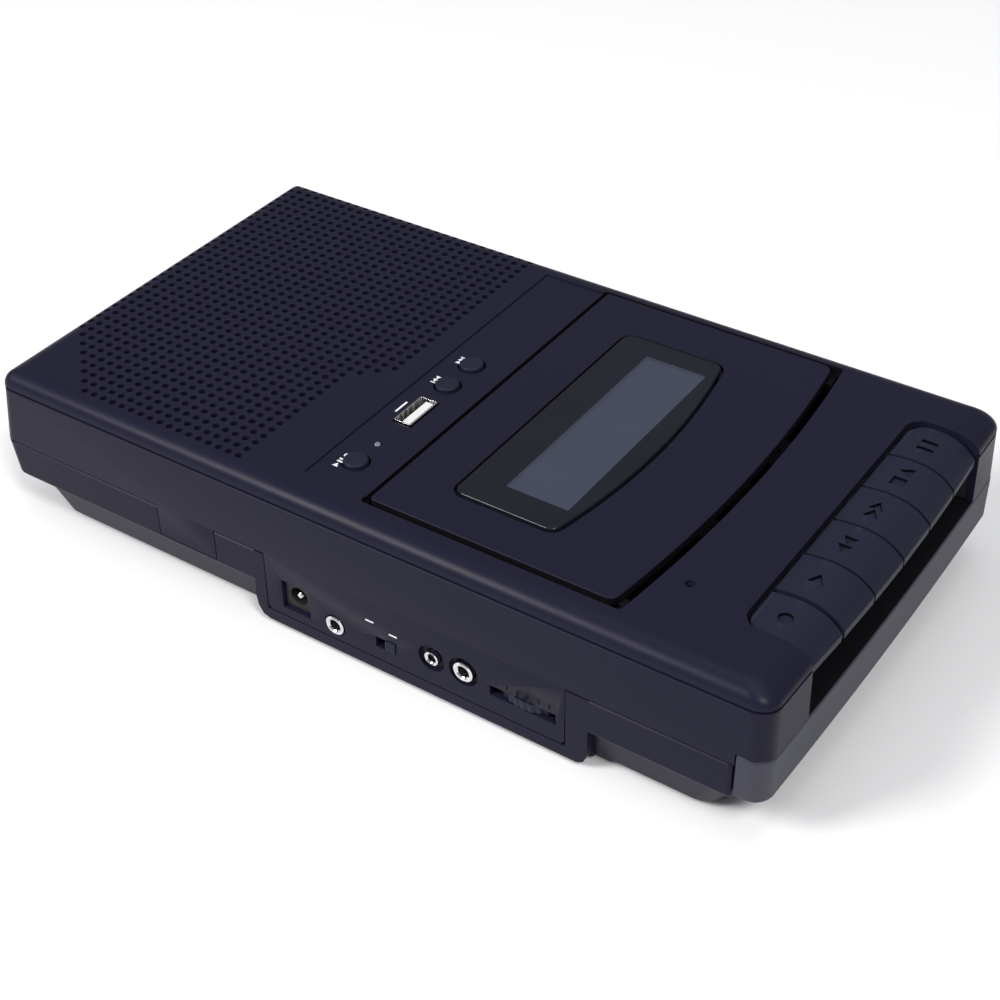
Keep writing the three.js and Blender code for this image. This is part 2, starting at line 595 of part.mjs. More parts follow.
// ---------------------------------------------------------------- cassette lid

function windowShape(grow) {
  const half = WINDOW.halfWidth + grow;
  const rear = WINDOW.rear + grow;
  const front = WINDOW.front - grow;
  const radius = WINDOW.radius + grow;
  const shape = new THREE.Shape();
  shape.moveTo(WINDOW.x - half + radius, rear);
  shape.absarc(WINDOW.x - half + radius, rear - radius, radius, Math.PI / 2, Math.PI);
  shape.lineTo(WINDOW.x - half, front);
  shape.quadraticCurveTo(WINDOW.x, front - 2 * WINDOW.bow, WINDOW.x + half, front);
  shape.lineTo(WINDOW.x + half, rear - radius);
  shape.absarc(WINDOW.x + half - radius, rear - radius, radius, 0, Math.PI / 2);
  shape.closePath();
  return shape;
}

function buildLid() {
  const underside = TOP - LID.thickness;
  const lugs = [[-56, -53, -61.8, -55], [57, 60, 59, 64]].flatMap(([x0, x1, pinStart, pinEnd]) => [
    crossRod(LID_PIVOT.y, LID_PIVOT.z, 2, x0, x1),
    box(x0, x1, LID_PIVOT.y, LID_PIVOT.y + 5, 43.4, underside + 0.2),
    crossRod(LID_PIVOT.y, LID_PIVOT.z, LID_PIVOT.radius, pinStart, pinEnd),
  ]);
  const lid = join(plate(lidShape(), underside, TOP, 10), ...lugs);
  const cuts = [
    plate(windowShape(0.5), WINDOW.bottom - GAP, TOP + 1),
    box(-40, 41.2, -51, -21, underside - 1, TOP),
  ];
  add("cassette_lid", cut(lid, ...cuts), PLASTIC);
  add("lid_window", plate(windowShape(0), WINDOW.bottom, WINDOW.top, 8), GLOSS_BLACK);
}

// Two channels that grip the cassette's ends, tied by a bar at each end of the lid.
function buildHolder() {
  const half = CASSETTE.width / 2 + 0.4;
  const top = TOP - LID.thickness - GAP;
  const bottom = CASSETTE.bottom - 1.1;
  const pieces = [
    box(REELS.x - half - 1.2, REELS.x + half + 1.2, -71, -67.5, top - 0.8, top),
    box(REELS.x - half - 1.2, REELS.x + half + 1.2, -12.5, -9, top - 0.8, top),
  ];
  [-1, 1].forEach((side) => {
    const wall = [REELS.x + side * half, REELS.x + side * (half + 1.2)].sort((a, b) => a - b);
    const lip = [REELS.x + side * (half - 4), REELS.x + side * (half + 1.2)].sort((a, b) => a - b);
    pieces.push(box(...wall, -71, -9, bottom, top), box(...lip, -71, -9, bottom, bottom + 0.8));
  });
  add("cassette_holder", join(...pieces), INNER_PLASTIC);
}

// ---------------------------------------------------------------- tape deck

function buildDeck() {
  const { left, right, front, rear, bottom, top } = DECK;
  const reels = [REELS.x - REELS.pitch / 2, REELS.x + REELS.pitch / 2].map(
    (x) => post(x, REELS.y, 4.2, bottom - 1, top + 1, 16),
  );
  const stud = post(PINCH.pivotX, PINCH.pivotY, 1.5, bottom, 38.4, 12);
  const bearing = post(CAPSTAN.x, CAPSTAN.y, 3.2, 32.2, 37.6);
  const bore = post(CAPSTAN.x, CAPSTAN.y, CAPSTAN.radius + 0.1, 30, 40);
  const sheet = cut(box(left, right, front, rear, bottom, top), ...reels);
  add("deck_plate", join(sheet, stud, bearing).subtract(bore), STEEL);
}

function buildSpindle(name, x) {
  const profile = [
    [0, 29.6], [1.5, 29.6], [1.5, 35.5], [9.5, 35.5], [9.5, 36.4],
    [3.4, 36.8], [3.2, 40.8], [1.2, REELS.tip], [0, REELS.tip],
  ];
  const fins = [0, 1, 2].map((i) => {
    const geometry = new THREE.BoxGeometry(4.4, 1, 4);
    geometry.translate(2.4, 0, 38.4);
    geometry.rotateZ((i * 2 * Math.PI) / 3);
    geometry.translate(x, REELS.y, 0);
    return solid(geometry);
  });
  add(name, join(turned(x, REELS.y, profile, 24), ...fins), WHITE_PLASTIC);
}

function buildDrive() {
  const { x, y, radius } = CAPSTAN;
  const { bottom, top } = FLYWHEEL;
  const wheel = [
    [1.4, bottom + 1.5], [4, bottom + 1.5], [4, bottom + 2.5], [17, bottom + 2.5], [17, bottom],
    [FLYWHEEL.radius, bottom], [FLYWHEEL.radius, top], [1.4, top], [1.4, bottom + 1.5],
  ];
  add("flywheel", turned(x, y, wheel, 40), STEEL);
  add("capstan_shaft", post(x, y, radius, 22, 44, 12), CHROME);
  const can = [
    [0, MOTOR.bottom], [MOTOR.radius - 1, MOTOR.bottom], [MOTOR.radius, MOTOR.bottom + 1],
    [MOTOR.radius, MOTOR.top], [4, MOTOR.top], [4, MOTOR.top + 0.8], [1, MOTOR.top + 0.8], [1, 31], [0, 31],
  ];
  add("motor", turned(MOTOR.x, MOTOR.y, can, 28), STEEL);
  const pulley = [[1.3, 25.3], [4.2, 25.3], [4.2, 26.2], [PULLEY_RADIUS, 26.6], [PULLEY_RADIUS, 28],
    [4.2, 28.4], [4.2, 29.4], [1.3, 29.4], [1.3, 25.3]];
  add("motor_pulley", turned(MOTOR.x, MOTOR.y, pulley, 20), BRASS);
}

// A closed loop round two circles, as a path: the big arc, then the small arc.
function beltLoop(path, grow) {
  const dx = MOTOR.x - CAPSTAN.x;
  const dy = MOTOR.y - CAPSTAN.y;
  const big = FLYWHEEL.radius + grow;
  const small = PULLEY_RADIUS + grow;
  const heading = Math.atan2(dy, dx);
  const spread = Math.acos((big - small) / Math.hypot(dx, dy));
  path.absarc(CAPSTAN.x, CAPSTAN.y, big, heading + spread, heading - spread + 2 * Math.PI, false);
  path.absarc(MOTOR.x, MOTOR.y, small, heading - spread, heading + spread, false);
  path.closePath();
  return path;
}

function buildBelt() {
  const shape = beltLoop(new THREE.Shape(), GAP + BELT.thickness);
  shape.holes.push(beltLoop(new THREE.Path(), GAP));
  const trimmed = plate(shape, BELT.bottom, BELT.top, 14);
  add("drive_belt", trimmed, RUBBER);
}

function buildHeads() {
  const bed = cut(box(-24, 34, -86, -75, 35.3, 36.1), box(12, 20, -80, -74, 35, 37));
  add("head_carriage", bed, STEEL);
  const record = turnedAcross(0, 0, [[0, -6], [6, -6], [6, 6], [0, 6]], 24);
  const round = record.translate([0.95, -79.4, 40.4]);
  const head = round.intersect(box(-6, 8, -84, -73, 36.4, 44.4));
  add("record_play_head", head.add(box(-5, 6.9, -84, -79, 36.4, 44.4)), CHROME);
  const eraser = join(box(-19, -11, -83, -77, 36.4, 44), crossRod(-77.5, 40.2, 3.4, -18, -12, 16));
  add("erase_head", eraser, INNER_PLASTIC);
}

function buildPinchRoller() {
  const { x, y, radius, pivotX, pivotY } = PINCH;
  const heading = Math.atan2(y - pivotY, x - pivotX);
  const arm = new THREE.Shape();
  arm.absarc(x, y, 3, heading - Math.PI / 2, heading + Math.PI / 2, false);
  arm.absarc(pivotX, pivotY, 3.4, heading + Math.PI / 2, heading + (3 * Math.PI) / 2, false);
  arm.closePath();
  const body = plate(arm, 36.4, 37.4).add(post(x, y, 1, 37.3, 45, 12));
  add("pinch_arm", body.subtract(post(pivotX, pivotY, 1.6, 36, 38, 16)), STEEL);
  const tyre = [[1.08, 37.7], [radius, 37.7], [radius, 44.3], [1.08, 44.3], [1.08, 37.7]];
  add("pinch_roller", turned(x, y, tyre, 28), RUBBER);
}

// ---------------------------------------------------------------- loudspeaker

function buildSpeaker() {
  const { x, y, rim, cone, top } = SPEAKER;
  const basket = [
    [19, 29], [22, 29], [36.5, 44.8], [rim, 44.8], [rim, top],
    [34.4, top], [34.4, 45.6], [20.5, 30.8], [19, 30.8], [19, 29],
  ];
  add("speaker_basket", turned(x, y, basket, 36), STEEL);
  const paper = [[0, 34.4], [7.6, 32.6], [cone, 45.2], [cone, 46.4], [8.6, 34.4], [4.5, 36], [0, 36.6]];
  add("speaker_cone", turned(x, y, paper, 36), PAPER);
  add("speaker_magnet", turned(x, y, [[0, 21.8], [18.5, 21.8], [18.5, 28.7], [0, 28.7]], 28), FERRITE);
}

// ---------------------------------------------------------------- control strip

function buildControls() {
  const y = STRIP.lineY;
  BUTTONS.forEach(([name, x]) => {
    const cap = [[0, 38.7], [1.5, 38.7], [1.5, 44.6], [4.5, 44.6], [4.5, 46.6], [BUTTON_RADIUS, 46.6],
      [BUTTON_RADIUS, 49.5], [BUTTON_RADIUS - 0.5, 50], [0, 50]];
    add(name, turned(x, y, cap, 24), KEY_PLASTIC);
  });
  const { x } = USB;
  const halfWidth = USB.width / 2;
  const halfHeight = USB.height / 2;
  const mouthX = halfWidth - USB.sheet;
  const mouthY = halfHeight - USB.sheet;
  const hull = box(x - halfWidth, x + halfWidth, y - halfHeight, y + halfHeight, 38, 49.4);
  const mouth = box(x - mouthX, x + mouthX, y - mouthY, y + mouthY, 38.6, 51);
  add("usb_socket_shell", hull.subtract(mouth), CHROME);
  add("usb_socket_tongue", box(x - 5.6, x + 5.6, y - 1.75, y + 0.1, 38.9, 48), WHITE_PLASTIC);
  const led = [[0, 37.8], [1.6, 37.8], [1.6, 42], [0.9, 42], [0.9, 49], [0, 49.2]];
  add("status_led", turned(LED_X, y, led, 12), WHITE_PLASTIC);
  add("control_board", box(-54, 15, 2.4, 18.8, 36, 37.5), BOARD_GREEN);
  add("microphone_capsule", post(MICROPHONE.x, MICROPHONE.y, 3, 43.4, 46.8, 16), STEEL);
}

// ---------------------------------------------------------------- jack panel

function buildJack({ name, y, z, ring, bore }) {
  const face = -HALF_WIDTH - 0.4;
  const profile = [[0, face], [ring - 0.4, face], [ring, face + 0.4], [ring, -65], [0, -65]];
  const ferrule = turnedAcross(y, z, profile, 24);
  const block = box(-65.9, -54.4, y - 4, y + 4, 7.3, z + 3.2);
  add(name, join(ferrule, block).subtract(crossRod(y, z, bore, -70, -56, 16)), CHROME);
}

function buildJackPanel() {
  const { y, z } = DC_INLET;
  const half = DC_INLET.size / 2;
  const inlet = box(-67.2, -55.4, y - half, y + half, z - half, z + half);
  const barrel = crossRod(y, z, 2.9, -68, -58, 20);
  const pin = crossRod(y, z, 1, -66.4, -57, 12);
  add("dc_inlet", inlet.subtract(barrel).add(pin), INNER_PLASTIC);
  JACKS.forEach(buildJack);
  const knobY = SWITCH.y - SWITCH.slot / 2 + 0.25;
  const knobZ = SWITCH.height / 2 - 0.25;
  const knob = box(-69, -65.5, knobY, knobY + SWITCH.knob, SWITCH.z - knobZ, SWITCH.z + knobZ);
  add("source_switch_knob", knob, KEY_PLASTIC);
  add("source_switch_body", box(-65.2, -58, SWITCH.y - 5.6, SWITCH.y + 5.6, 7.3, 14.6), STEEL);
  const wheelUnderside = VOLUME.z - VOLUME.thickness / 2;
  const carrier = box(-61, -51, VOLUME.y - 5, VOLUME.y + 5, 7.3, wheelUnderside - GAP);
  add("volume_control_body", carrier, INNER_PLASTIC);
}

function buildVolumeWheel() {
  const { x, y, z, radius, thickness, teeth } = VOLUME;
  const shape = new THREE.Shape();
  for (let i = 0; i < 2 * teeth; i += 1) {
    const angle = (i / (2 * teeth)) * 2 * Math.PI;
    const reach = i % 2 === 0 ? radius : radius - 0.5;
    const point = [x + reach * Math.cos(angle), y + reach * Math.sin(angle)];
    if (i === 0) {
      shape.moveTo(...point);
    } else {
      shape.lineTo(...point);
    }
  }
  shape.closePath();
  add("volume_wheel", plate(shape, z - thickness / 2, z + thickness / 2), KEY_PLASTIC);
}

function buildMainBoard() {
  const board = box(-60.4, -26, -72, 25.6, 5.4, 7);
  add("main_board", cut(board, post(-54, -8, 3.6, 5, 8, 16)), BOARD_GREEN);
}

// ---------------------------------------------------------------- assembly

buildUpperCase();
buildLowerCase();
buildBatteryDoor();
buildBatteryContacts();
buildFasteners();
buildHandle();
buildKeys();
buildLid();
buildHolder();
buildDeck();
buildSpindle("supply_spindle", REELS.x - REELS.pitch / 2);
buildSpindle("takeup_spindle", REELS.x + REELS.pitch / 2);
buildDrive();
buildBelt();
buildHeads();
buildPinchRoller();
buildSpeaker();
buildControls();
buildJackPanel();
buildVolumeWheel();
buildMainBoard();

export default part;
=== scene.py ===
"""Looks for a portable cassette recorder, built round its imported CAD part.

Lengths inside this file are millimetres until a mesh is made; Blender works in metres.
-Y is the key end, -X the side with the jacks, +Z up.
"""
import math

import bmesh
import bpy
from mathutils import Matrix, Vector


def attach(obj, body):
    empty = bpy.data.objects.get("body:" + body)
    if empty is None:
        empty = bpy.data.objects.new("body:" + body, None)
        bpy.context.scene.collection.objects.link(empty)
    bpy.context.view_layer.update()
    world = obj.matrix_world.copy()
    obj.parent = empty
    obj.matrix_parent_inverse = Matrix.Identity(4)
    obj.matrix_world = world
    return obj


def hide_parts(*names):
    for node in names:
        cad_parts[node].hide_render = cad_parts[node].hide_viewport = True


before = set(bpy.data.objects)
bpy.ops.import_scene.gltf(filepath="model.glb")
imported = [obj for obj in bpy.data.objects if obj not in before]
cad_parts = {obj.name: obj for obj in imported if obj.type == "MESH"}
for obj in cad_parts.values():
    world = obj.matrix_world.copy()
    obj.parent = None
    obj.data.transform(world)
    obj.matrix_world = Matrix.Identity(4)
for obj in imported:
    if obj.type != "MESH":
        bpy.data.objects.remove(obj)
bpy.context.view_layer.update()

MM = 0.001

# ---------------------------------------------------------------- sizes shared with the CAD part

HALF_WIDTH = 68.6
REAR, FRONT = 124.0, 124.3
CROWN = 0.9
REAR_RADIUS, FRONT_RADIUS = 4.0, 5.5
FLARE_SIDE, FLARE_REAR, FLARE_FRONT = 0.9, 2.6, 0.5
NOSE = -FRONT - FLARE_FRONT
WALL = 2.2
FLOOR = 1.5
BASE_TOP = 13.4
SEAM = 24.6
GROOVE = 43.8
TOP = 49.3
CEILING = TOP - WALL
EDGE_HEIGHT, EDGE_SIDE, EDGE_FRONT = 5.05, 6.3, 10.5
BASE_TAPER = 5.1
GROOVE_DEPTH = 0.7
QUARTER = math.pi / 2

# A cell's chamber in the base, and the walls round it.
CELLS_SIDE, CELLS_FRONT, CELLS_REAR, CELLS_WALL = 30.8, 55.6, 109.6, 1.6
SCREW_POSTS = ((-58, 106), (58, 106), (-56, -96), (56, -96))
FEET = ((-48, 104), (48, 104), (-44, -100), (44, -100))

LEAST_CORNER = 0.8
CORNER_STEPS = 14
CROWN_STEPS = 16

# The loudspeaker holes: a square lattice, with the column range of each row from the front.
GRILLE_X, GRILLE_Y, GRILLE_PITCH, GRILLE_RADIUS = 1.4, -0.2, 3.528, 1.06
GRILLE_LAST_COLUMN = 18
GRILLE_FIRST_COLUMN = {8: -2, 9: -3, 10: -4}
GRILLE_FIRST_COLUMN.update({row: -18 for row in range(11, 28)})
GRILLE_FIRST_COLUMN.update({28 + i: -17 + i for i in range(7)})

# The sunk control strip: left, right, front and rear; everything in it stands on one line.
STRIP_LEFT, STRIP_RIGHT, STRIP_FRONT, STRIP_REAR = -57.9, 61.2, -1.9, 19.5
STRIP_Y, STRIP_LEVEL = 10.8, TOP - 0.4
BUTTON_X = {"play_record_button": -46.9, "previous_button": -4.3, "next_button": 7.7}
BUTTON_HOLE = 4.05
LAMP_X, LAMP_HOLE = -37.2, 1.2
USB_X, USB_WIDTH, USB_HEIGHT, USB_WALL, USB_ROOM = -19.5, 13.1, 5.7, 0.35, 0.4
MICROPHONE_X, MICROPHONE_Y = -42.5, -87.6

# Lid plan with its bowed front edge, and the gap left, right, behind and in front of it.
LID_LEFT, LID_RIGHT, LID_REAR, LID_FRONT, LID_BOW = -58.0, 61.8, -1.9, -75.7, 3.9
LID_GAP = (2.2, 0.6, 1.4, 2.9)
LID_CORNER, LID_HOLE_CORNER, LID_REAR_CORNER = 3.0, 1.2, 1.2
LID_UNDER, LID_EDGE = TOP - 2.4, 0.35
LID_PIVOT_Y, LID_PIVOT_Z = -76, 44.8
LID_LUGS = ((-56, -53, -61.8, -55), (57, 60, 59, 64))
WINDOW_LEFT, WINDOW_RIGHT, WINDOW_REAR, WINDOW_FRONT, WINDOW_BOW = -43.9, 45.1, -18.5, -50, 4.4
WINDOW_LOW, WINDOW_HIGH, WINDOW_CORNER = 48.1, 49.9, 3.0
PANE_PLAN = (-35, 37.5, -48.2, -29.2)

KEY_X, KEY_PITCH, KEY_GAP, KEY_BOW = -48.25, 16.45, 0.9, 1.6
KEY_REAR, KEY_FRONT, KEY_LIP = -104.9, -124.6, 41.1
KEY_TOP = [
    (KEY_REAR, 48.0), (-107.5, 48.35), (-110.5, 48.6), (-113.5, 48.6), (-116, 48.3),
    (-118.4, 47.7), (-120.5, 46.8), (-122.3, 45.6), (-123.7, 44.3), (KEY_FRONT, 43.3),
]
KEY_NODES = ("record_key", "play_key", "rewind_key", "forward_key", "stop_eject_key", "pause_key")
KEY_SHAFT_Y, KEY_SHAFT_Z = -92, 38
GLYPH_X = (-40.4, -23.4, -7.3, 9.3, 26.0, 42.0)
GLYPH_Y, GLYPH_DEPTH = -112.3, 0.95
WELL_LEFT, WELL_RIGHT, WELL_REAR, WELL_RADIUS, WELL_FLOOR = -48.2, 51.4, -104.0, 5.0, 29.9
WELL_SILL = -116.6

HANDLE_LOW, HANDLE_HIGH, HANDLE_DEPTH = 14.7, 28.2, 7.5

# Jack side, as (y, z): name, y, z, ferrule radius, bore radius. Holes are a little wider.
JACKS = (
    ("earphone_jack", 4.0, 10.3, 3.1, 1.75),
    ("remote_jack", -28.0, 14.4, 2.25, 1.25),
    ("microphone_jack", -38.0, 14.8, 3.15, 1.75),
)
COUNTERSINKS = ((-28.0, 14.4, 4.2), (-38.0, 14.8, 4.5))
INLET = (12.7, 21.7, 8.7, 17.7)
INLET_Y, INLET_Z = 17.2, 13.2
SIDE_GAP = 0.3
SWITCH_SLOT = (-16.4, -9.8, 9.75, 13.25)
WHEEL_SLOT = (-66.2, -46.2, 11.2, 14.6)
WHEEL_AT, WHEEL_RADIUS, WHEEL_TEETH = (-56, -56.2, 12.9), 13.0, 72
PRINT_THICKNESS = 0.04


# ---------------------------------------------------------------- mesh helpers

def piece(name, bm):
    """A bmesh in millimetres becomes an object in metres."""
    bmesh.ops.recalc_face_normals(bm, faces=bm.faces)
    bmesh.ops.scale(bm, vec=(MM, MM, MM), verts=bm.verts)
    mesh = bpy.data.meshes.new(name)
    bm.to_mesh(mesh)
    bm.free()
    obj = bpy.data.objects.new(name, mesh)
    bpy.context.scene.collection.objects.link(obj)
    return obj


def loft(levels):
    """Rings of equal count, each a list of (x, y, z), joined into a tube with flat ends."""
    bm = bmesh.new()
    rings = [[bm.verts.new(p) for p in ring] for ring in levels]
    count = len(rings[0])
    for low, high in zip(rings, rings[1:]):
        for i in range(count):
            j = (i + 1) % count
            bm.faces.new((low[i], low[j], high[j], high[i]))
    bm.faces.new(list(reversed(rings[0])))
    bm.faces.new(rings[-1])
    return bm


def at_height(outline, z):
    return [(x, y, z) for x, y in outline]


def prism(outline, z0, z1):
    return loft([at_height(outline, z0), at_height(outline, z1)])


def side_prism(points, x0, x1):
    """A (y, z) outline spread from x0 to x1."""
    return loft([[(x0, y, z) for y, z in points], [(x1, y, z) for y, z in points]])


def rectangle(x0, x1, y0, y1):
    return [(x0, y0), (x1, y0), (x1, y1), (x0, y1)]


def block(x0, x1, y0, y1, z0, z1):
    return prism(rectangle(x0, x1, y0, y1), z0, z1)


def ring_points(radius, steps):
    angles = [2 * math.pi * i / steps for i in range(steps)]
    return [(radius * math.cos(angle), radius * math.sin(angle)) for angle in angles]


def turned(profile, centre, axis="Z", steps=32):
    """A (radius, height) profile turned about the X or Z axis through centre.
    Radius 0 closes an end."""
    bm = bmesh.new()
    rings = []
    for radius, height in profile:
        if radius < 1e-6:
            rings.append([bm.verts.new((0, 0, height))])
        else:
            rings.append([bm.verts.new((x, y, height)) for x, y in ring_points(radius, steps)])
    for low, high in zip(rings, rings[1:]):
        for i in range(steps):
            j = (i + 1) % steps
            if len(low) == 1 and len(high) == 1:
                continue
            if len(low) == 1:
                bm.faces.new((low[0], high[j], high[i]))
            elif len(high) == 1:
                bm.faces.new((low[i], low[j], high[0]))
            else:
                bm.faces.new((low[i], low[j], high[j], high[i]))
    turn = Matrix.Rotation(QUARTER, 4, "Y") if axis == "X" else Matrix.Identity(4)
    bmesh.ops.transform(bm, matrix=Matrix.Translation(centre) @ turn, verts=bm.verts)
    return bm


def rod(centre, radius, length, axis="Z", steps=24):
    return turned([(0, 0), (radius, 0), (radius, length), (0, length)], centre, axis, steps)


def merge(*parts):
    """Several bmeshes in one, left as separate shells."""
    whole = bmesh.new()
    for part in parts:
        mesh = bpy.data.meshes.new("tmp")
        part.to_mesh(mesh)
        part.free()
        whole.from_mesh(mesh)
        bpy.data.meshes.remove(mesh)
    return whole


def carve(obj, tool, operation="DIFFERENCE"):
    """Cuts or joins obj with a bmesh tool, for good."""
    cutter = piece("tool", tool)
    modifier = obj.modifiers.new("carve", "BOOLEAN")
    modifier.operation = operation
    modifier.object = cutter
    modifier.solver = "MANIFOLD"
    graph = bpy.context.evaluated_depsgraph_get()
    mesh = bpy.data.meshes.new_from_object(obj.evaluated_get(graph))
    obj.modifiers.clear()
    old = obj.data
    obj.data = mesh
    bpy.data.meshes.remove(old)
    data = cutter.data
    bpy.data.objects.remove(cutter)
    bpy.data.meshes.remove(data)


def soften(obj, width=0.25, segments=2, angle=35):
    """Small rounded edges and clean shading, as a moulding has."""
    if width > 0:
        bevel = obj.modifiers.new("edges", "BEVEL")
        bevel.width = width * MM
        bevel.segments = segments
        bevel.limit_method = "ANGLE"
        bevel.angle_limit = math.radians(angle)
        bevel.use_clamp_overlap = True
        bevel.miter_outer = "MITER_ARC"
    for polygon in obj.data.polygons:
        polygon.use_smooth = True
    obj.data.set_sharp_from_angle(angle=math.radians(angle))
    normals = obj.modifiers.new("shading", "WEIGHTED_NORMAL")
    normals.keep_sharp = True
    normals.weight = 80
    return obj


def level_normals(obj):
    """Fixes the bevels into the mesh and shades its level faces as exactly level."""
    obj.modifiers.remove(obj.modifiers["shading"])
    graph = bpy.context.evaluated_depsgraph_get()
    mesh = bpy.data.meshes.new_from_object(obj.evaluated_get(graph))
    obj.modifiers.clear()
    obj.data = mesh
    directions = [tuple(corner.vector) for corner in mesh.corner_normals]
    for face in mesh.polygons:
        if abs(face.normal.z) > 0.99999:
            for corner in face.loop_indices:
                directions[corner] = tuple(face.normal)
    mesh.normals_split_custom_set(directions)


def shade_faces(obj, material, chosen):
    """Gives a second material to the faces for which chosen(centre in mm, normal) holds."""
    obj.data.materials.append(material)
    for face in obj.data.polygons:
        if chosen(face.center / MM, face.normal):
            face.material_index = len(obj.data.materials) - 1


def dress(obj, body, material, slot, *nodes):
    """Puts a piece on its body with its material, in place of CAD nodes."""
    obj.data.materials.clear()
    obj.data.materials.append(material)
    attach(obj, body)
    if nodes:
        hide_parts(*nodes)


# ---------------------------------------------------------------- outlines

def arc(cx, cy, radius, start, sweep, steps):
    angles = [start + sweep * i / steps for i in range(steps + 1)]
    return [(cx + radius * math.cos(angle), cy + radius * math.sin(angle)) for angle in angles]


def body_outline(inset, lean=1.0, front=None, nose=None, rear=None, tail=None, front_inset=None):
    """Plan of the case drawn in by inset. lean is 0 at the groove and 1 at the seam, as the far
    wall and the end walls lean out. nose and tail are the front and rear corner radii. A given
    front edge is straight; otherwise it bulges by CROWN."""
    left, right = -HALF_WIDTH + inset, HALF_WIDTH + FLARE_SIDE * lean - inset
    crown = CROWN if front is None else 0.0
    if front is None:
        front = -FRONT - FLARE_FRONT * lean + (inset if front_inset is None else front_inset)
    if rear is None:
        rear = REAR + FLARE_REAR * lean - inset
    tail = max(REAR_RADIUS - inset if tail is None else tail, LEAST_CORNER)
    nose = max(FRONT_RADIUS - inset if nose is None else nose, LEAST_CORNER)
    shoulder = front + crown
    straight = right - left - 2 * nose
    points = arc(right - tail, rear - tail, tail, 0, QUARTER, CORNER_STEPS)
    points += arc(left + tail, rear - tail, tail, QUARTER, QUARTER, CORNER_STEPS)
    points += arc(left + nose, shoulder + nose, nose, 2 * QUARTER, QUARTER, CORNER_STEPS)
    for i in range(1, CROWN_STEPS):
        along = i / CROWN_STEPS
        across = 2 * along - 1
        bulge = crown * (1 - across * across)
        points.append((left + nose + along * straight, shoulder - bulge))
    points += arc(right - nose, shoulder + nose, nose, 3 * QUARTER, QUARTER, CORNER_STEPS)
    return points


def rounded_rect(x0, x1, y0, y1, radius, steps=8):
    return (
        arc(x1 - radius, y1 - radius, radius, 0, QUARTER, steps)
        + arc(x0 + radius, y1 - radius, radius, QUARTER, QUARTER, steps)
        + arc(x0 + radius, y0 + radius, radius, 2 * QUARTER, QUARTER, steps)
        + arc(x1 - radius, y0 + radius, radius, 3 * QUARTER, QUARTER, steps)
    )


def bowed_plate(x0, x1, rear, front, bow, tail, nose, corner_steps=8, steps=24):
    """A rectangle whose front edge bulges forwards, with rear corners of radius tail and
    front corners of radius nose."""
    middle, half = (x0 + x1) / 2, (x1 - x0) / 2
    slope = math.atan(2 * bow / half)
    turn = QUARTER - slope
    points = arc(x1 - tail, rear - tail, tail, 0, QUARTER, corner_steps)
    points += arc(x0 + tail, rear - tail, tail, QUARTER, QUARTER, corner_steps)
    points += arc(x0 + nose, front + nose, nose, 2 * QUARTER, turn, corner_steps)
    start_x, start_y = points[-1]
    end_x = 2 * middle - start_x
    for i in range(1, steps):
        along = i / steps
        across = 2 * along - 1
        bulge = bow * (1 - across * across)
        points.append((start_x + (end_x - start_x) * along, start_y - bulge))
    points += arc(x1 - nose, front + nose, nose, 3 * QUARTER + slope, turn, corner_steps)
    return points


# ---------------------------------------------------------------- materials

def node_material(name):
    material = bpy.data.materials.new(name)
    material.use_nodes = True
    nodes, links = material.node_tree.nodes, material.node_tree.links
    nodes.clear()
    output = nodes.new("ShaderNodeOutputMaterial")
    shader = nodes.new("ShaderNodeBsdfPrincipled")
    links.new(shader.outputs["BSDF"], output.inputs["Surface"])
    return material, nodes, links, shader


def noise(nodes, links, coordinates, scale, detail=2.0, roughness=0.5):
    texture = nodes.new("ShaderNodeTexNoise")
    texture.inputs["Scale"].default_value = scale
    texture.inputs["Detail"].default_value = detail
    texture.inputs["Roughness"].default_value = roughness
    links.new(coordinates, texture.inputs["Vector"])
    return texture.outputs["Fac"]


def spread(nodes, links, value, low, high):
    """Maps a 0 to 1 value onto low to high."""
    mapper = nodes.new("ShaderNodeMapRange")
    mapper.inputs["To Min"].default_value = low
    mapper.inputs["To Max"].default_value = high
    links.new(value, mapper.inputs["Value"])
    return mapper.outputs["Result"]


def blend_colour(nodes, links, factor, first, second):
    mix = nodes.new("ShaderNodeMix")
    mix.data_type = "RGBA"
    mix.inputs[6].default_value = (*first, 1)
    mix.inputs[7].default_value = (*second, 1)
    links.new(factor, mix.inputs[0])
    return mix.outputs[2]


def fill(shader, name, value):
    shader.inputs[name].default_value = value


def object_place(nodes):
    """Texture coordinates that stay with the piece, in metres."""
    return nodes.new("ShaderNodeTexCoord").outputs["Object"]


def add_values(nodes, links, first, second):
    total = nodes.new("ShaderNodeMath")
    total.operation = "ADD"
    links.new(first, total.inputs[0])
    links.new(second, total.inputs[1])
    return total.outputs[0]


def raise_surface(nodes, links, shader, height, strength, depth):
    """Bump of a given depth in mm."""
    bump = nodes.new("ShaderNodeBump")
    fill(bump, "Strength", strength)
    fill(bump, "Distance", depth * MM)
    links.new(height, bump.inputs["Height"])
    links.new(bump.outputs["Normal"], shader.inputs["Normal"])


def stretched(nodes, links, where, scale, turn=0.0):
    mapping = nodes.new("ShaderNodeMapping")
    fill(mapping, "Scale", scale)
    fill(mapping, "Rotation", (0, 0, turn))
    links.new(where, mapping.inputs["Vector"])
    return mapping.outputs["Vector"]


def scaled(colour, factor, lift=0.0):
    return tuple(min(1, c * factor + lift) for c in colour)


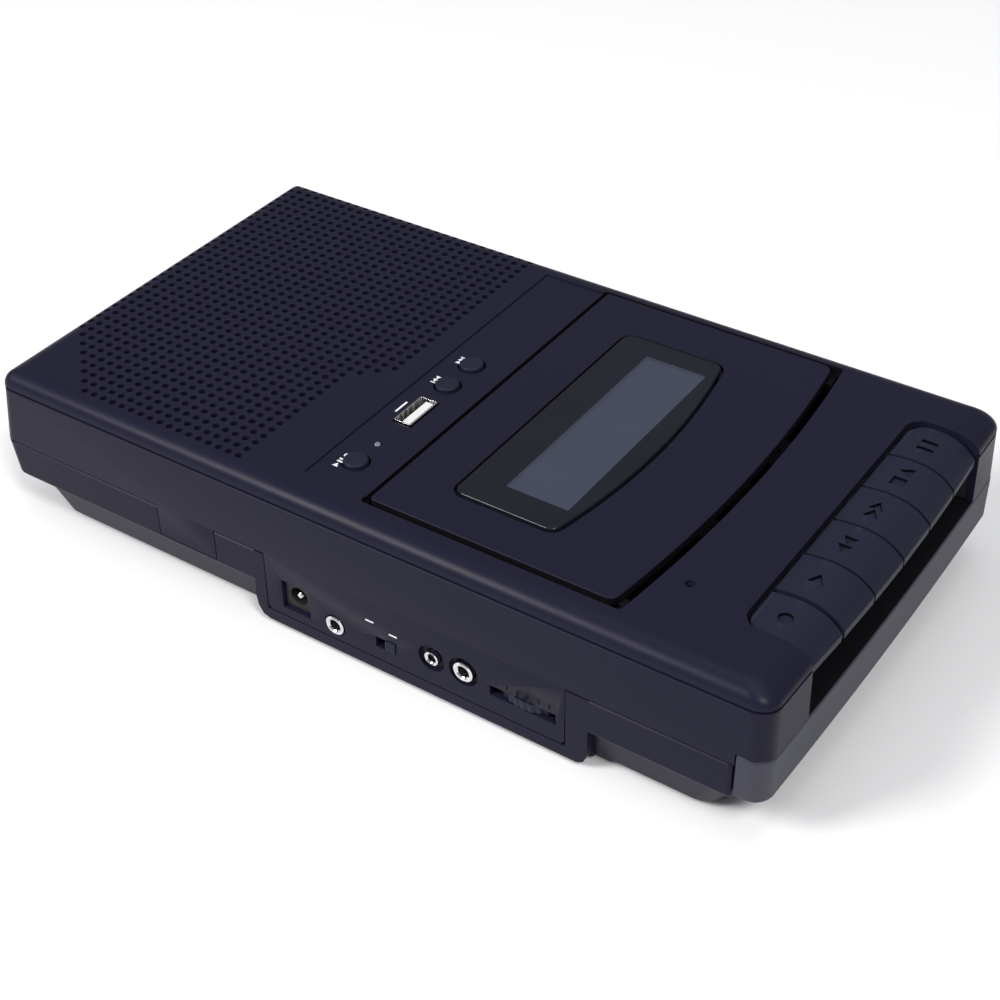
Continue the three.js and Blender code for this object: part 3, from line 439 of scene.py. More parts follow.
def moulded(name, colour, lighter, roughness, grain_mm=0.35, grain_depth=0.012, wear=0.35,
            specular=0.5):
    """Plastic with a spark-eroded grain, uneven gloss and edges polished by handling."""
    material, nodes, links, shader = node_material(name)
    where = object_place(nodes)
    patches = noise(nodes, links, where, 22, 3)
    grain = noise(nodes, links, where, 1 / (grain_mm * MM), 2, 0.6)
    geometry = nodes.new("ShaderNodeNewGeometry")
    edges = nodes.new("ShaderNodeMapRange")
    fill(edges, "From Min", 0.54)
    fill(edges, "From Max", 0.68)
    fill(edges, "To Max", wear)
    links.new(geometry.outputs["Pointiness"], edges.inputs["Value"])
    tone = blend_colour(nodes, links, spread(nodes, links, patches, 0.0, 0.35), colour, lighter)
    mix = nodes.new("ShaderNodeMix")
    mix.data_type = "RGBA"
    mix.inputs[7].default_value = (*scaled(lighter, 1.6, 0.01), 1)
    links.new(edges.outputs["Result"], mix.inputs[0])
    links.new(tone, mix.inputs[6])
    links.new(mix.outputs[2], shader.inputs["Base Color"])
    dull = spread(nodes, links, patches, roughness - 0.05, roughness + 0.05)
    fine = spread(nodes, links, grain, -0.04, 0.04)
    links.new(add_values(nodes, links, dull, fine), shader.inputs["Roughness"])
    raise_surface(nodes, links, shader, grain, 0.6, grain_depth)
    fill(shader, "Specular IOR Level", specular)
    return material


def metal(name, colour, roughness, grain_scale=(400, 400, 40), depth=0.003):
    """Plated or brushed metal: streaks along one way, small dull patches."""
    material, nodes, links, shader = node_material(name)
    where = object_place(nodes)
    streaks = noise(nodes, links, stretched(nodes, links, where, grain_scale), 8, 3)
    patches = noise(nodes, links, where, 160, 3)
    tone = blend_colour(nodes, links, patches, scaled(colour, 0.8), colour)
    links.new(tone, shader.inputs["Base Color"])
    dull = spread(nodes, links, streaks, roughness * 0.7, roughness * 1.4)
    links.new(dull, shader.inputs["Roughness"])
    fill(shader, "Metallic", 1.0)
    raise_surface(nodes, links, shader, streaks, 0.5, depth)
    return material


def polished(name, colour, roughness=0.08, specular=0.5):
    """Gloss moulding with faint wiping scratches and finger haze."""
    material, nodes, links, shader = node_material(name)
    where = object_place(nodes)
    haze = noise(nodes, links, where, 45, 3)
    wiped = stretched(nodes, links, where, (60, 900, 900), 0.5)
    scratches = noise(nodes, links, wiped, 3, 4, 0.7)
    tone = blend_colour(nodes, links, haze, colour, scaled(colour, 1.4, 0.001))
    links.new(tone, shader.inputs["Base Color"])
    dull = spread(nodes, links, haze, roughness, roughness + 0.06)
    fine = spread(nodes, links, scratches, 0, 0.05)
    links.new(add_values(nodes, links, dull, fine), shader.inputs["Roughness"])
    fill(shader, "Specular IOR Level", specular)
    return material


def smoked_pane(name):
    """Clear plastic printed grey on the back: half its own grey, half see-through."""
    material, nodes, links, shader = node_material(name)
    haze = noise(nodes, links, object_place(nodes), 60, 3)
    tone = blend_colour(nodes, links, haze, (0.062, 0.07, 0.105), (0.074, 0.083, 0.122))
    links.new(tone, shader.inputs["Base Color"])
    links.new(spread(nodes, links, haze, 0.1, 0.2), shader.inputs["Roughness"])
    clear = nodes.new("ShaderNodeBsdfTransparent")
    fill(clear, "Color", (0.9, 0.93, 1.0, 1))
    mix = nodes.new("ShaderNodeMixShader")
    mix.inputs[0].default_value = 0.5
    output = next(n for n in nodes if n.type == "OUTPUT_MATERIAL")
    links.new(shader.outputs["BSDF"], mix.inputs[1])
    links.new(clear.outputs["BSDF"], mix.inputs[2])
    links.new(mix.outputs["Shader"], output.inputs["Surface"])
    return material


def ink(name, colour):
    """Screen print, a little thin in places."""
    material, nodes, links, shader = node_material(name)
    thin = noise(nodes, links, object_place(nodes), 2500, 2)
    tone = blend_colour(nodes, links, thin, scaled(colour, 0.75), colour)
    links.new(tone, shader.inputs["Base Color"])
    links.new(spread(nodes, links, thin, 0.45, 0.65), shader.inputs["Roughness"])
    return material


CASE = moulded("case_moulding", (0.0105, 0.01, 0.022), (0.0135, 0.013, 0.0275), 0.33,
               wear=0, specular=0.08)
KEYS = moulded("key_moulding", (0.012, 0.0135, 0.026), (0.0155, 0.017, 0.032), 0.45,
               grain_mm=0.3, specular=0.12)
# Painted light: the handle plastic is a lighter copy of the case plastic, standing in for the light
# its front faces catch.
HANDLE_LIT_PLASTIC = moulded("handle_moulding_painted_light", (0.017, 0.017, 0.034), (0.022, 0.022, 0.042), 0.5)
DARK = moulded("inner_moulding", (0.006, 0.006, 0.008), (0.010, 0.010, 0.013), 0.62)
# Painted shade: near-black for the upright walls of sunk key symbols and for the sunk volume ticks,
# standing in for the shade in those recesses.
SUNK_SHADE = moulded("sunk_walls_painted_shade", (0.002, 0.002, 0.004), (0.003, 0.003, 0.005), 0.7,
                 wear=0, specular=0.1)
SHADOW = moulded("unlit_faces", (0.003, 0.003, 0.0045), (0.004, 0.004, 0.006), 0.7,
                 wear=0, specular=0.12)
RUBBER = moulded("black_rubber", (0.012, 0.012, 0.012), (0.02, 0.02, 0.02), 0.85,
                 grain_mm=0.8, grain_depth=0.02, wear=0.1)
WHITE = moulded("white_moulding", (0.62, 0.62, 0.6), (0.74, 0.74, 0.72), 0.42,
                grain_mm=0.6, wear=0.05)
BOARD = moulded("board_laminate", (0.012, 0.06, 0.022), (0.02, 0.09, 0.035), 0.4,
                grain_mm=0.9, wear=0.2)
PAPER = moulded("cone_paper", (0.012, 0.012, 0.012), (0.022, 0.021, 0.02), 0.9,
                grain_mm=1.2, grain_depth=0.04, wear=0)
FERRITE = moulded("ferrite", (0.03, 0.03, 0.032), (0.05, 0.05, 0.052), 0.6,
                  grain_mm=0.7, wear=0.3)
GLOSS = polished("gloss_black", (0.007, 0.0075, 0.012), specular=0.22)
PANE = smoked_pane("smoked_pane")
BLACKENED = metal("blackened_steel", (0.02, 0.02, 0.022), 0.5)
CHROME = metal("nickel_plate", (0.78, 0.78, 0.8), 0.16)
STEEL = metal("zinc_steel", (0.5, 0.51, 0.53), 0.35)
BRASS = metal("brass", (0.62, 0.46, 0.2), 0.3)
INK = ink("white_ink", (0.78, 0.79, 0.8))
LAMP = polished("lamp_lens", (0.12, 0.13, 0.15), 0.12)


# ---------------------------------------------------------------- upper case

def rolled_edge(inset, front_inset):
    return body_outline(inset, 0, nose=FRONT_RADIUS - inset / 2, front_inset=front_inset)


def case_top_shell():
    chamfer = 0.3
    levels = [
        at_height(body_outline(chamfer, 1), SEAM),
        at_height(body_outline(0, 1), SEAM + chamfer),
        at_height(body_outline(0, 0), GROOVE - 0.55),
        at_height(body_outline(0.15, 0), GROOVE - 0.4),
        at_height(body_outline(GROOVE_DEPTH, 0), GROOVE - 0.35),
        at_height(body_outline(GROOVE_DEPTH, 0), GROOVE + 0.35),
        at_height(body_outline(0.15, 0), GROOVE + 0.4),
    ]
    steps, rise, margin = 14, EDGE_HEIGHT - 0.12, 0.8
    for i in range(steps + 1):
        angle = (i / steps) * QUARTER
        drawn_in = 1 - math.cos(angle)
        plan = rolled_edge(EDGE_SIDE * drawn_in, EDGE_FRONT * drawn_in)
        levels.append(at_height(plan, TOP - rise * (1 - math.sin(angle))))
    levels.append(at_height(rolled_edge(EDGE_SIDE + margin, EDGE_FRONT + margin), TOP))
    return loft(levels)


def case_cavity():
    return loft([
        at_height(body_outline(WALL, 1), SEAM - 2),
        at_height(body_outline(WALL, 0), CEILING - 4.5),
        at_height(body_outline(WALL + 1.3, 0, front_inset=WALL + 2.4), CEILING - 1.7),
        at_height(body_outline(WALL + 3.2, 0, front_inset=WALL + 7.5), CEILING),
    ])


def lid_outline(left=0.0, right=0.0, rear=0.0, front=0.0, corner=LID_CORNER):
    return bowed_plate(LID_LEFT - left, LID_RIGHT + right, LID_REAR + rear, LID_FRONT - front,
                       LID_BOW, LID_REAR_CORNER, corner)


def key_well():
    centre_y = WELL_REAR - WELL_RADIUS
    outline = [(WELL_RIGHT, NOSE - 5)]
    outline += arc(WELL_RIGHT - WELL_RADIUS, centre_y, WELL_RADIUS, 0, QUARTER, 10)
    outline += arc(WELL_LEFT + WELL_RADIUS, centre_y, WELL_RADIUS, QUARTER, QUARTER, 10)
    outline += [(WELL_LEFT, NOSE - 5)]
    return prism(outline, WELL_FLOOR, TOP + 2)


def grille_holes():
    bm = bmesh.new()
    steps = 14
    low, high = CEILING - 3, TOP + 1
    circle = ring_points(GRILLE_RADIUS, steps)
    for row, first in GRILLE_FIRST_COLUMN.items():
        for column in range(first, GRILLE_LAST_COLUMN + 1):
            cx, cy = GRILLE_X + GRILLE_PITCH * column, GRILLE_Y + GRILLE_PITCH * row
            bottom = [bm.verts.new((cx + x, cy + y, low)) for x, y in circle]
            top = [bm.verts.new((cx + x, cy + y, high)) for x, y in circle]
            for k in range(steps):
                n = (k + 1) % steps
                bm.faces.new((bottom[k], bottom[n], top[n], top[k]))
            bm.faces.new(list(reversed(bottom)))
            bm.faces.new(top)
    return bm


def grown(span, gap):
    """(y0, y1, z0, z1) opened out by gap on every side."""
    return span[0] - gap, span[1] + gap, span[2] - gap, span[3] + gap


def jack_cuts():
    """Groups of cutters for the jack side; the cutters in one group don't meet."""
    out, inner = -HALF_WIDTH - 2, -HALF_WIDTH + WALL + 1
    sink = 2 + 1.2
    return [
        [block(out, inner, *grown(INLET, SIDE_GAP))],
        [block(out, inner, *SWITCH_SLOT)],
        [block(out, inner, *WHEEL_SLOT)],
        [rod((out, y, z), ring + SIDE_GAP, inner - out, "X") for _, y, z, ring, _ in JACKS],
        [rod((out, y, z), radius, sink, "X", 40) for y, z, radius in COUNTERSINKS],
    ]


def lid_hole_wall(centre, normal):
    """True on the upright walls of the hole that the lid lies in."""
    inside = -60.5 < centre.x < 62.7 and -83.5 < centre.y < -0.3
    return abs(normal.z) < 0.3 and inside and CEILING - 1 < centre.z < TOP - 0.2


def strip_cuts():
    """The shallow control strip, then the socket's hole."""
    under, over = CEILING - 2, TOP + 2
    half_width, half_height = USB_WIDTH / 2 + USB_ROOM, USB_HEIGHT / 2 + USB_ROOM
    return [
        block(STRIP_LEFT, STRIP_RIGHT, STRIP_FRONT - 1, STRIP_REAR, STRIP_LEVEL, over),
        block(USB_X - half_width, USB_X + half_width, STRIP_Y - half_height, STRIP_Y + half_height,
              under, over),
    ]


def build_upper_case():
    left, under, over = -HALF_WIDTH, CEILING - 2, TOP + 2
    shell = piece("case_upper", case_top_shell())
    carve(shell, case_cavity())
    carve(shell, block(left, left + WALL, 45.4, 66, 14.6, SEAM + 0.5), "UNION")
    skirt = [
        (27.4, SEAM + 0.5), (27.4, 6.6), (26.4, 5.6), (-67.7, 5.6), (-68.7, 6.6), (-68.7, SEAM + 0.5),
    ]
    carve(shell, side_prism(skirt, left, left + WALL), "UNION")
    carve(shell, key_well())
    carve(shell, block(-80, 80, -130, -115.4, SEAM - 2, 28.5))
    carve(shell, block(WELL_LEFT, WELL_RIGHT, -130, WELL_SILL, 28.2, WELL_FLOOR + 0.5))
    carve(shell, prism(lid_outline(*LID_GAP, LID_HOLE_CORNER), CEILING - 4, over))
    for cutter in strip_cuts():
        carve(shell, cutter)
    holes = [rod((x, STRIP_Y, under), BUTTON_HOLE, 6, steps=40) for x in BUTTON_X.values()]
    holes.append(rod((LAMP_X, STRIP_Y, under), LAMP_HOLE, 6))
    holes.append(rod((MICROPHONE_X, MICROPHONE_Y, under), 0.9, 6))
    carve(shell, merge(*holes))
    carve(shell, rod((MICROPHONE_X, MICROPHONE_Y, TOP - 0.9), 1.35, 2, steps=32))
    for group in jack_cuts():
        carve(shell, merge(*group))
    carve(shell, grille_holes())
    level_normals(soften(shell, 0.18, 2, 40))
    dress(shell, "machine", CASE, "case", "upper_case")
    shade_faces(shell, SHADOW, lid_hole_wall)
    walls = soften(piece("case_inner_walls", inner_walls()), 0.2)
    dress(walls, "machine", DARK, "case")


def inner_walls():
    """Floor, cheeks and rear of the key well, and the walls round the cassette bay."""
    side, front, rear, bay_floor, over = 66.2, -122.5, -112, 35.6, CEILING + 0.2
    ledge = (28.6, 29.85)
    cheek = [(front, 29.8), (front, 45), (-118, 46.6), (-113, 47.3)]
    cheek += [(WELL_REAR, 47.3), (WELL_REAR, 29.8)]
    return merge(
        block(-side, WELL_LEFT - 0.1, front, rear, *ledge),
        block(WELL_RIGHT + 0.1, side, front, rear, *ledge),
        block(WELL_LEFT - 0.3, WELL_RIGHT + 0.3, WELL_SILL, rear, *ledge),
        block(-side, side, rear - 1.5, rear, SEAM, 35.5),
        side_prism(cheek, WELL_LEFT - 1.5, WELL_LEFT - 0.05),
        side_prism(cheek, WELL_RIGHT + 0.05, WELL_RIGHT + 1.5),
        block(WELL_LEFT - 1.5, WELL_RIGHT + 1.5, WELL_REAR + 0.05, WELL_REAR + 1.4, 44.6, over),
        block(-61.6, -60.25, -80, 0.9, bay_floor, over),
        block(62.45, 63.8, -80, 0.9, bay_floor, over),
        block(-61.6, 63.8, -0.45, 0.9, bay_floor, over),
    )


# ---------------------------------------------------------------- lower case

def lower_outer():
    bay = {"front": -115.2, "nose": 1.4}
    return loft([
        at_height(body_outline(BASE_TAPER + 0.5, 1, -110.3, 7.6, 110.9, 4.6), FLOOR),
        at_height(body_outline(BASE_TAPER, 1, -110.8, 8, 111.4, 5), FLOOR + 0.5),
        at_height(body_outline(1.9, 1, -114.5, 6, 114.4, 4), BASE_TOP - 0.9),
        at_height(body_outline(1.55, 0.1, -114.8, 3, 116, 3.4), BASE_TOP - 0.65),
        at_height(body_outline(1.1, 0.1, -114.9, 3, None, 3), BASE_TOP - 0.45),
        at_height(body_outline(0.4, 0.12, **bay), BASE_TOP - 0.05),
        at_height(body_outline(0.08, 0.16, **bay), BASE_TOP + 0.4),
        at_height(body_outline(0, 0.2, **bay), BASE_TOP + 0.9),
        at_height(body_outline(0, 0.97, **bay), SEAM - 0.6),
        at_height(body_outline(0.3, 1, front=-115.1, nose=1.2), SEAM - 0.3),
    ])


def lower_cavity():
    return loft([
        at_height(body_outline(BASE_TAPER + WALL - 0.3, 1, -108.4, 6, 109.2, 3), FLOOR + WALL),
        at_height(body_outline(1.9 + WALL, 1, -112.2, 4, 112.2, 2), BASE_TOP + 0.4),
        at_height(body_outline(WALL + 0.2, 0.2, -113, 1), BASE_TOP + WALL),
        at_height(body_outline(WALL, 1, -113, 1), SEAM + 2),
    ])


def jack_panel_frame():
    """Foot of the jack panel, seen from the side: a U that the upper case's skirt drops into."""
    top, sill = SEAM - 0.3, 5.2
    outside = [(31, top), (31.8, 8), (31.2, 4.6), (29.6, 2.2), (27.2, FLOOR)]
    outside += [(-72.4, FLOOR), (-74.4, 2.6), (-75.4, 5), (-75.4, top)]
    return outside + [(-69, top), (-69, sill), (27.8, sill), (27.8, top)]


def build_lower_case():
    below, over = FLOOR - 1, SEAM + 2
    wall = CELLS_WALL
    tray = piece("case_lower", lower_outer())
    carve(tray, lower_cavity())
    carve(tray, block(-72, -62.2, -68.9, 27.7, 5.2, over))
    carve(tray, block(-72, -60, 45.1, 66.3, 14.3, over))
    carve(tray, side_prism(jack_panel_frame(), -HALF_WIDTH, -64.6), "UNION")
    carve(tray, block(-64.7, -60.8, -75, 29, FLOOR, 5.2), "UNION")
    chamber = (-CELLS_SIDE - wall, CELLS_SIDE + wall, CELLS_FRONT - wall, CELLS_REAR + wall)
    carve(tray, block(*chamber, FLOOR, 19.2 + wall), "UNION")
    carve(tray, block(-CELLS_SIDE, CELLS_SIDE, CELLS_FRONT, CELLS_REAR, below, 19.2))
    carve(tray, block(-32.3, 32.3, CELLS_FRONT - 1, CELLS_REAR + 1, below, FLOOR + 1.5))
    for x, y in SCREW_POSTS:
        carve(tray, rod((x, y, FLOOR), 4, 9.8), "UNION")
        carve(tray, rod((x, y, below), 2.9, 11.5))
    for x in (-62.85, 62.85):
        carve(tray, block(x - 1.65, x + 1.65, -117, -110, 17.7, over))
    carve(tray, merge(*[rod((x, y, below), 4.8, 1.6, steps=32) for x, y in FEET]))
    soften(tray, 0.2, 2, 38)
    dress(tray, "machine", CASE, "case", "lower_case")
    backing = soften(piece("tab_backing", block(-66, -64.4, 43, 68.4, 12, SEAM - 1)), 0.2)
    dress(backing, "machine", DARK, "case")


def build_battery_door():
    plan = (-31.9, 31.9, CELLS_FRONT - 0.6, CELLS_REAR + 0.6)
    door = piece("door_cover", block(*plan, FLOOR, FLOOR + 1.2))
    grip_front, grip_width, grip_step = CELLS_REAR - 12, 1.1, 2.2
    grips = []
    for i in range(5):
        y = grip_front + grip_step * i
        grips.append(block(-9, 9, y, y + grip_width, FLOOR - 1, FLOOR + 0.45))
    carve(door, merge(*grips))
    catch = block(-6, 6, CELLS_REAR - 1.4, CELLS_REAR - 0.2, FLOOR + 0.8, FLOOR + 3.6)
    carve(door, catch, "UNION")
    soften(door, 0.2)
    dress(door, "door", CASE, "case", "battery_door")


# ---------------------------------------------------------------- handle

def handle_levels():
    """The grip's outside, with fine raised ribs right round it."""
    low, high = HANDLE_LOW, HANDLE_HIGH
    levels = [
        at_height(body_outline(0.5), low),
        at_height(body_outline(0.1), low + 0.25),
        at_height(body_outline(0), low + 0.6),
    ]
    rib, pitch = 0.035, 0.8
    z = low + 1.2
    while z < high - 1.0:
        for inset, rise in ((0, -0.2), (rib, -0.1), (rib, 0.1), (0, 0.2)):
            levels.append(at_height(body_outline(inset), z + rise))
        z += pitch
    return levels + [at_height(body_outline(0), high - 0.5), at_height(body_outline(0.4), high)]


def build_handle():
    low, high = HANDLE_LOW, HANDLE_HIGH
    bar = piece("handle_grip", loft(handle_levels()))
    hollow = body_outline(HANDLE_DEPTH, 1, NOSE + HANDLE_DEPTH, 3)
    carve(bar, prism(hollow, low - 2, high + 2))
    carve(bar, block(-75, 75, -115.7, 140, low - 2, high + 2))
    soften(bar, 0.2, 2, 50)
    # The grip takes the lighter plastic: painted light for its lit front faces.
    dress(bar, "handle", HANDLE_LIT_PLASTIC, "case", "carrying_handle")
    shade_faces(bar, SHADOW, lambda centre, normal: normal.z > 0.9 and centre.z > high - 0.2)
    arms = []
    for side in (-1, 1):
        x0, x1 = sorted((side * 61.5, side * 64.2))
        stop = (x0 - 1.2, x1) if side > 0 else (x0, x1 + 1.2)
        arms += [block(x0, x1, -118.5, -60.05, 18, 26), block(*stop, -63, -60, 18, 26)]
    arms = soften(piece("handle_arms", merge(*arms)), 0.3)
    dress(arms, "handle", DARK, "case")


# ---------------------------------------------------------------- keys

def key_height(y):
    """Height of a key's top at y, along a smooth curve through KEY_TOP."""
    for k in range(len(KEY_TOP) - 1):
        (y0, z0), (y1, z1) = KEY_TOP[k], KEY_TOP[k + 1]
        if y >= y1 - 1e-6:
            (ya, za), (yb, zb) = KEY_TOP[max(k - 1, 0)], KEY_TOP[min(k + 2, len(KEY_TOP) - 1)]
            t, span = (y - y0) / (y1 - y0), y1 - y0
            m0, m1 = (z1 - za) / (y1 - ya) * span, (zb - z0) / (yb - y0) * span
            leaving = z0 * (1 + 2 * t) * (1 - t) ** 2 + m0 * t * (1 - t) ** 2
            return leaving + z1 * t * t * (3 - 2 * t) + m1 * t * t * (t - 1)
    return KEY_TOP[-1][1]


def bow_key(obj):
    """The row of keys bows forward in the middle; the outer keys stop a little short."""
    half = 3 * KEY_PITCH
    for vertex in obj.data.vertices:
        across = (vertex.co.x / MM - KEY_X - half) / half
        reach = max(KEY_REAR - vertex.co.y / MM, 0) / (KEY_REAR - KEY_FRONT)
        vertex.co.y += KEY_BOW * across ** 2 * reach * MM


def key_glyph(index):
    """Sunken symbols round the glyph's centre; +X is to the right, +Y away from the user."""
    back = [(-2.0, 0), (0.9, -1.75), (0.9, 1.75)]
    ahead = [(2.0, 0), (-0.9, 1.75), (-0.9, -1.75)]
    if index == 0:
        return [[(x * 2.0, y * 2.0) for x, y in ring_points(1, 28)]]
    if index == 1:
        return [[(1.3 * x - 0.4, 1.25 * y) for x, y in ahead]]
    if index == 2:
        return [[(1.15 * x + shift, 1.15 * y) for x, y in back] for shift in (-1.3, 2.2)]
    if index == 3:
        return [[(1.15 * x + shift, 1.15 * y) for x, y in ahead] for shift in (-2.2, 1.3)]
    if index == 4:
        return [rectangle(-4.3, -0.6, -1.9, 1.9), [(0.6, -1.9), (4.6, -1.9), (2.6, 2.0)]]
    return [rectangle(x, x + 1.4, -2.3, 2.3) for x in (-2.3, 1.0)]


def key_solid(x0, x1):
    """A key's curved cap: skin with its rolled front lip, and the two cheeks."""
    steps, cheek_width = 26, 1.2
    ys = [KEY_REAR + (KEY_FRONT - KEY_REAR) * k / steps for k in range(steps + 1)]
    crown = [(y, key_height(y)) for y in ys]
    under = [(-123.1, 43), (-121.4, 44.6), (-119.5, 45.6), (-117.5, 46.3), (-114, 46.9)]
    under += [(-109, 46.8), (KEY_REAR, 46.2)]
    lip = [(KEY_FRONT, KEY_LIP), (KEY_FRONT + 1.6, KEY_LIP)]
    cheek = crown + [lip[0], (-108, 42.4), (KEY_REAR, 45)]
    skin = side_prism(crown + lip + under, x0, x1)
    return skin, side_prism(cheek, x0, x0 + cheek_width), side_prism(cheek, x1 - cheek_width, x1)


def key_corner(x, inwards):
    """What rounds off the outer rear corner of an end key, whose outer side is at x."""
    start = math.pi if inwards > 0 else QUARTER
    centre = (x + inwards * WELL_RADIUS, KEY_REAR - WELL_RADIUS)
    round_part = arc(*centre, WELL_RADIUS, start, -QUARTER, 12)
    outer, behind = x - inwards, KEY_REAR + 1
    if inwards > 0:
        plan = [(outer, behind), (outer, centre[1])] + round_part + [(centre[0], behind)]
    else:
        plan = [(outer, behind), (centre[0], behind)] + round_part + [(outer, centre[1])]
    return prism(plan, 30, TOP + 1)


def build_key(index):
    node = KEY_NODES[index]
    x0 = KEY_X + index * KEY_PITCH + KEY_GAP / 2
    x1 = x0 + KEY_PITCH - KEY_GAP
    if index == 0:
        x1 -= 0.5
    middle = (x0 + x1) / 2
    skin, left, right = key_solid(x0, x1)
    cap = piece(node + "_cap", skin)
    carve(cap, left, "UNION")
    carve(cap, right, "UNION")
    bow_key(cap)
    if index == 0:
        carve(cap, key_corner(x0, 1))
    if index == 5:
        carve(cap, key_corner(x1, -1))
    glyph_x, floor_z = GLYPH_X[index], key_height(GLYPH_Y) - GLYPH_DEPTH
    for outline in key_glyph(index):
        placed = [(glyph_x + x, GLYPH_Y + y) for x, y in outline]
        carve(cap, prism(placed, floor_z, TOP))
    soften(cap, 0.42, 3, 38)
    dress(cap, node + "_lever", KEYS, "key_plastic", node)

    # The symbols' upright walls get near-black painted shade, whatever the lamps do.
    def glyph_wall_in_shade(centre, normal):
        near = abs(centre.y - GLYPH_Y) < 2.6 and abs(centre.x - glyph_x) < 5
        return abs(normal.z) < 0.3 and near and centre.z > floor_z

    shade_faces(cap, SUNK_SHADE, glyph_wall_in_shade)
    half = 2.5
    web = [(-114, 47.2), (-105.6, 46.7), (-104.7, 44), (-95, 41), (-93, 34.6), (-109, 38.5)]
    web = side_prism(web, middle - half, middle + half)
    boss = rod((middle - half, KEY_SHAFT_Y, KEY_SHAFT_Z), 3.2, 2 * half, "X")
    arm = soften(piece(node + "_arm", merge(web, boss)), 0.25)
    dress(arm, node + "_lever", DARK, "key_plastic")


# ---------------------------------------------------------------- lid

def window_outline(grow):
    corner = WINDOW_CORNER + grow
    return bowed_plate(WINDOW_LEFT - grow, WINDOW_RIGHT + grow, WINDOW_REAR + grow,
                       WINDOW_FRONT - grow, WINDOW_BOW, corner, corner)


def lid_lugs():
    """Two lugs under the lid, each with its pivot pin."""
    lugs = []
    for x0, x1, pin0, pin1 in LID_LUGS:
        lugs += [
            rod((x0, LID_PIVOT_Y, LID_PIVOT_Z), 2, x1 - x0, "X"),
            block(x0, x1, LID_PIVOT_Y, LID_PIVOT_Y + 5, 43.4, LID_UNDER),
            rod((pin0, LID_PIVOT_Y, LID_PIVOT_Z), 1.1, pin1 - pin0, "X"),
        ]
    return merge(*lugs)


def build_lid():
    edge = LID_EDGE
    plate = piece("lid_plate", loft([
        at_height(lid_outline(), LID_UNDER),
        at_height(lid_outline(), TOP - edge),
        at_height(lid_outline(*[-edge * 0.3] * 4), TOP - edge * 0.3),
        at_height(lid_outline(*[-edge] * 4), TOP),
    ]))
    carve(plate, prism(window_outline(0.9), 47.8, TOP + 2))
    carve(plate, block(-40, 41.2, -51, -21, LID_UNDER - 2, TOP))
    soften(plate, 0.15, 2, 40)
    dress(plate, "lid", CASE, "case", "cassette_lid")
    shade_faces(plate, SHADOW, lambda centre, normal: abs(normal.z) < 0.3 and centre.z < TOP - edge)
    lugs = soften(piece("lid_lugs", lid_lugs()), 0.15)
    dress(lugs, "lid", SHADOW, "case")

    low, high = WINDOW_LOW, WINDOW_HIGH
    glazing = piece("window_plate", loft([
        at_height(window_outline(0), low),
        at_height(window_outline(0), high - 0.5),
        at_height(window_outline(-0.12), high - 0.2),
        at_height(window_outline(-0.5), high),
    ]))
    pane = rounded_rect(*PANE_PLAN, 0.4)
    carve(glazing, prism(pane, low - 1, high + 1))
    soften(glazing, 0.0, 1, 50)
    dress(glazing, "lid", GLOSS, "window", "lid_window")
    glass = soften(piece("window_pane", prism(pane, high - 1.0, high - 0.02)), 0)
    dress(glass, "lid", PANE, "window")


# ---------------------------------------------------------------- controls

def flat_mark(name, *outlines):
    """White print on the control strip: thin raised shapes, each an (x, y) outline."""
    parts = [prism(outline, STRIP_LEVEL, STRIP_LEVEL + PRINT_THICKNESS) for outline in outlines]
    dress(piece(name, merge(*parts)), "machine", INK, "white_plastic")


def build_buttons():
    profile = [
        (0, 38.7), (1.5, 38.7), (1.5, 44.6), (4.5, 44.6), (4.5, 46.6), (3.5, 46.6), (3.5, 49.35),
        (3.4, 49.7), (3.1, 49.95), (2.6, 50.0), (1.6, 49.9), (0, 49.85),
    ]
    for node, x in BUTTON_X.items():
        cap = piece(node + "_face", turned(profile, (x, STRIP_Y, 0), "Z", 48))
        soften(cap, 0)
        dress(cap, node + "_cap", KEYS, "key_plastic", node)


def build_usb_socket():
    x, y, wall = USB_X, STRIP_Y, USB_WALL
    half_w, half_h = USB_WIDTH / 2, USB_HEIGHT / 2
    outside = rounded_rect(x - half_w, x + half_w, y - half_h, y + half_h, 0.5)
    bore_w, bore_h = half_w - wall, half_h - wall
    inside = rounded_rect(x - bore_w, x + bore_w, y - bore_h, y + bore_h, 0.3)
    shell = piece("usb_shell_bright", prism(outside, 38, 49.4))
    carve(shell, prism(inside, 38.6, 51))
    for spring_x in (x - 3.0, x + 3.0):
        spring = block(spring_x - 0.9, spring_x + 0.9, y + half_h - 0.5, y + half_h + 1, 42, 46.5)
        carve(shell, spring)
    soften(shell, 0.08)
    dress(shell, "machine", CHROME, "chrome", "usb_socket_shell")
    tongue = block(x - 5.6, x + 5.6, y - 1.9, y + 0.5, 38.9, 49.0)
    tongue = soften(piece("usb_tongue_white", tongue), 0.15)
    dress(tongue, "machine", WHITE, "white_plastic", "usb_socket_tongue")
    pads = []
    for dx in (-3.5, -1.1, 1.1, 3.5):
        pads.append(block(x + dx - 0.5, x + dx + 0.5, y + 0.5, y + 0.56, 40, 48.3))
    dress(piece("usb_contacts", merge(*pads)), "machine", BRASS, "chrome")


